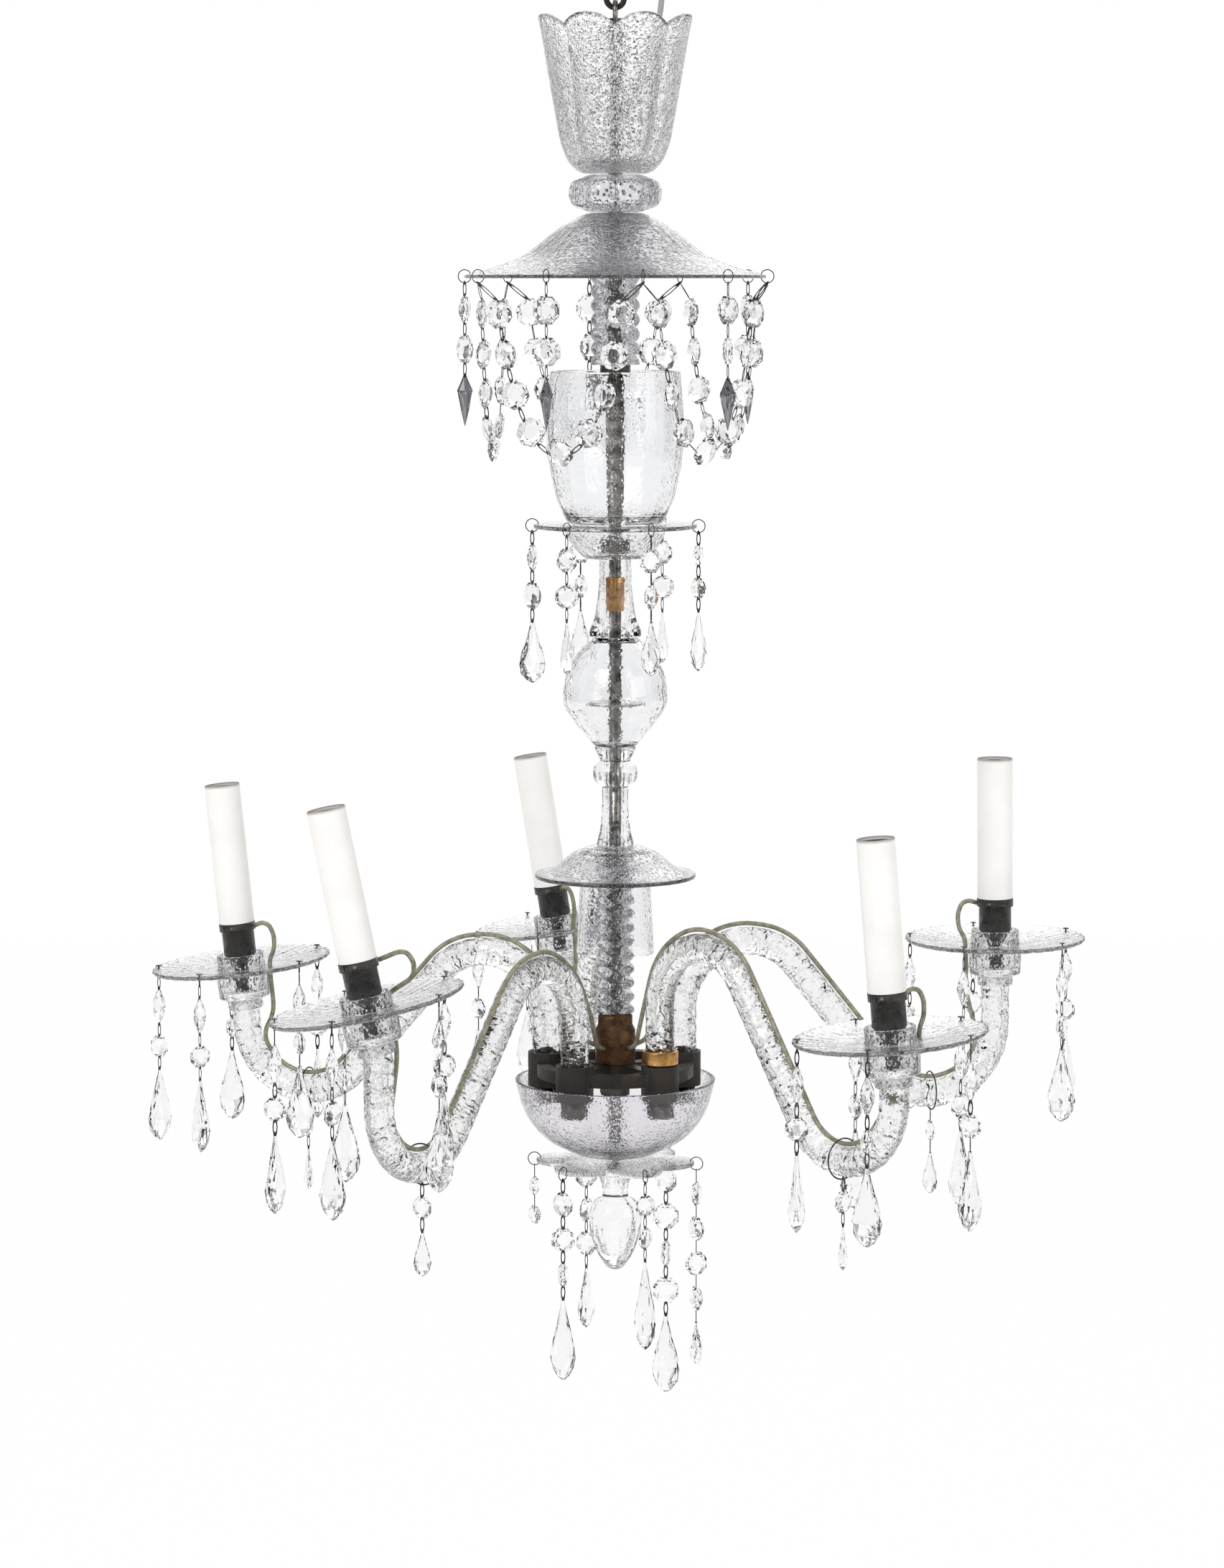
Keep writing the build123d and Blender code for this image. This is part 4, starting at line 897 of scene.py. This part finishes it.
rodLooks = {"radius": 4.2, "from": -62.0, "aboveFinial": 0.5, "onAxis": 0.1}
brassPipe = {"finish": "orangeBrass", "slot": "orange_brass", "columns": 40, "outer": 6.4, "inner": 4.2,
             "low": -449.0, "height": 24.0, "rounding": (0.4, 0.4, 0)}
ballWasher = {"finish": "platedSteel", "slot": "plated_steel", "columns": 40, "outer": 20.0, "inner": 4.2,
              "low": -513.7, "height": 1.4, "rounding": (0.4, 0.4, 0)}
brassFerrule = {"finish": "orangeBrass", "slot": "orange_brass", "columns": 48, "outer": 12.6,
                "inner": 10.1, "aboveReceiver": 1.0, "height": 9.0, "rounding": (0.5, 0.8, 0.3), "arm": 4}


def slimRod():
    # The rod as it shows through the glass: the radius of its long runs becomes the given one, and it
    # ends just above the finial's top
    mesh = rodPiece.data
    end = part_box("finial_ball")[1].z + rodLooks["aboveFinial"] * mm
    co = np.empty(len(mesh.vertices) * 3)
    mesh.vertices.foreach_get("co", co)
    co = co.reshape(-1, 3)
    radius = np.hypot(co[:, 0], co[:, 1])
    along = (co[:, 2] < rodLooks["from"] * mm) & (radius > rodLooks["onAxis"] * mm)
    co[along, :2] *= (rodLooks["radius"] * mm / radius[along])[:, None]
    co[:, 2] = np.maximum(co[:, 2], end)
    mesh.vertices.foreach_set("co", co.ravel())


def addTurnedRing(name, settings, low, middle=(0, 0, 0)):
    # A plain turned ring about the axis through the middle
    s, high = settings, low + settings["height"]
    line = roundedLine([(s["outer"], low, s["rounding"][0]), (s["outer"], high, s["rounding"][1]),
                        (s["inner"], high, s["rounding"][2]), (s["inner"], low)])
    newPiece(name, turnedPoints(line, s["columns"]) + middle, gridFaces(len(line), s["columns"]),
             s["finish"], "column", s["slot"])


slimRod()
addTurnedRing("brassPipe", brassPipe, brassPipe["low"])  # in the trumpet
addTurnedRing("ballWasher", ballWasher, ballWasher["low"])  # in the baluster
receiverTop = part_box("receiver_plate")[1].z / mm
addTurnedRing("brassFerrule", brassFerrule, receiverTop + brassFerrule["aboveReceiver"],
              socketPlace(brassFerrule["arm"], 0)[1])  # packs one arm in its socket

supply = {
    "points": [(33, 0, 30), (33.5, 1, 10), (33, -1, -14), (31, 1, -38), (26, 2, -60), (19, 0, -80),
               (12, -1, -97), (7.5, 0, -110)],  # as the CAD flex runs, mm
    "radius": 2.0, "length": 0.144, "roundness": 6, "order": 3, "resolution": 16}


def supplyFlex():
    # The flex hangs from the ceiling into the cup: a smooth spline with a round section
    curve = bpy.data.curves.new("supplyFlex", "CURVE")
    curve.dimensions = "3D"
    curve.bevel_depth = supply["radius"] * mm
    curve.bevel_resolution = supply["roundness"]
    curve.use_fill_caps = True
    spline = curve.splines.new("NURBS")
    spline.points.add(len(supply["points"]) - 1)
    for point, place in zip(spline.points, supply["points"]):
        point.co = (place[0] * mm, place[1] * mm, place[2] * mm, 1)
    spline.order_u = supply["order"]
    spline.use_endpoint_u = True
    spline.resolution_u = supply["resolution"]
    curve.materials.append(finishes["greyFlex"])
    piece = linked("supplyFlex", curve)
    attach(piece, "column")
    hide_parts("supply_cord")


supplyFlex()
print("metal and flex")

room = {"floorBelow": 0.75, "floorSize": 14.0, "paper": (0.9, 0.9, 0.9, 1), "roughness": 0.9, "glow": 0.98}
studio = {
    "matt": (0.80, 0.79, 0.78, 1), "behindEdge": (0.25, 0.86), "behindTone": (0.07, 1.0),
    "aboveEdge": (0.55, 0.8), "aboveTone": (0.0, 0.7), "patches": 5.0, "patchDetail": 2.0,
    "patchEdge": (0.42, 0.55), "patchTone": (0.45, 1.0), "straightEdge": (0.90, 0.95), "sectors": 8.0,
    "sectorEdge": (0.3, 0.7)}
lamps = {
    "key": {"place": (-1.6, -2.2, 1.2), "size": 1.4, "power": 38.0},
    "fill": {"place": (2.2, -1.6, 0.1), "size": 1.6, "power": 14.0},
    "rim": {"place": (0.6, 2.4, 1.4), "size": 2.8, "power": 22.0}}


def addRoom():
    # A pale floor far below: nearly white to the camera, to metal and through glass, and matt paper
    # for all else
    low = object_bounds()[0][2] - room["floorBelow"]
    half = room["floorSize"] / 2
    mesh = bpy.data.meshes.new("floor")
    corners = [(x, y, low) for x, y in ((-half, -half), (half, -half), (half, half), (-half, half))]
    mesh.from_pydata(corners, [], [(0, 1, 2, 3)])
    material, tree, shader = newMaterial("paper", Roughness=room["roughness"], Base_Color=room["paper"])
    path = addNode(tree, "ShaderNodeLightPath")
    glow = addNode(tree, "ShaderNodeEmission", {"Color": (1, 1, 1, 1), "Strength": 1.0})
    clear = calculate(tree, "ADD", (path, "Is Camera Ray"), (path, "Is Glossy Ray"))
    clear = calculate(tree, "ADD", clear, (path, "Is Transmission Ray"), clamp=True)
    blend = addNode(tree, "ShaderNodeMixShader", {
        "Fac": calculate(tree, "MULTIPLY", clear, room["glow"]), 1: (shader, "BSDF"), 2: (glow, "Emission")})
    join(tree, (blend, "Shader"), next(n for n in tree.nodes if n.type == "OUTPUT_MATERIAL"), "Surface")
    mesh.materials.append(material)
    linked("floor", mesh)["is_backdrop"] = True


def addWorld():
    # White to the camera; to glass and metal white straight behind, paler behind and overhead in soft
    # patches, and dark towards the camera's side; a plain grey for the light on matt surfaces
    world = bpy.data.worlds.new("studio")
    world.use_nodes = True
    bpy.context.scene.world = world
    tree = world.node_tree
    tree.nodes.clear()
    source = addNode(tree, "ShaderNodeTexCoord"), "Generated"
    way = addNode(tree, "ShaderNodeSeparateXYZ", {"Vector": source})
    path = addNode(tree, "ShaderNodeLightPath")
    behind = remap(tree, (way, "Y"), studio["behindEdge"], studio["behindTone"])
    above = remap(tree, (way, "Z"), studio["aboveEdge"], studio["aboveTone"])
    patches = addNode(tree, "ShaderNodeTexNoise", {
        "Vector": source, "Scale": studio["patches"], "Detail": studio["patchDetail"]}), "Fac"
    contrast = remap(tree, patches, studio["patchEdge"], studio["patchTone"])
    seen = calculate(tree, "MULTIPLY", calculate(tree, "MAXIMUM", behind, above), contrast)
    seen = calculate(tree, "MAXIMUM", seen, remap(tree, (way, "Y"), studio["straightEdge"]))
    # Through glass, eight white sectors all round, so that it is as clear from any side
    turn = calculate(tree, "MULTIPLY", calculate(tree, "ARCTAN2", (way, "Y"), (way, "X")), studio["sectors"])
    sector = remap(tree, calculate(tree, "COSINE", turn), studio["sectorEdge"])
    through = calculate(tree, "MULTIPLY", sector, (path, "Is Transmission Ray"))
    seen = calculate(tree, "MAXIMUM", seen, through)
    clear = calculate(tree, "ADD", (path, "Is Glossy Ray"), (path, "Is Transmission Ray"), clamp=True)
    final = mixColours(tree, (path, "Is Camera Ray"), mixColours(tree, clear, studio["matt"], seen),
                       (1, 1, 1, 1))
    light = addNode(tree, "ShaderNodeBackground", {"Color": final, "Strength": 1.0})
    addNode(tree, "ShaderNodeOutputWorld", {"Surface": (light, "Background")})


def addLamps():
    middle = sum((Vector(c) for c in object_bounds()), Vector()) / 2
    for name, lamp in lamps.items():
        data = bpy.data.lights.new(name, "AREA")
        data.energy, data.size = lamp["power"], lamp["size"]
        piece = linked(name, data)
        piece.location = lamp["place"]
        piece.rotation_euler = (middle - Vector(lamp["place"])).to_track_quat("-Z", "Y").to_euler()


addRoom()
addWorld()
addLamps()
bpy.context.scene.view_settings.view_transform = "Standard"
print("room and light")
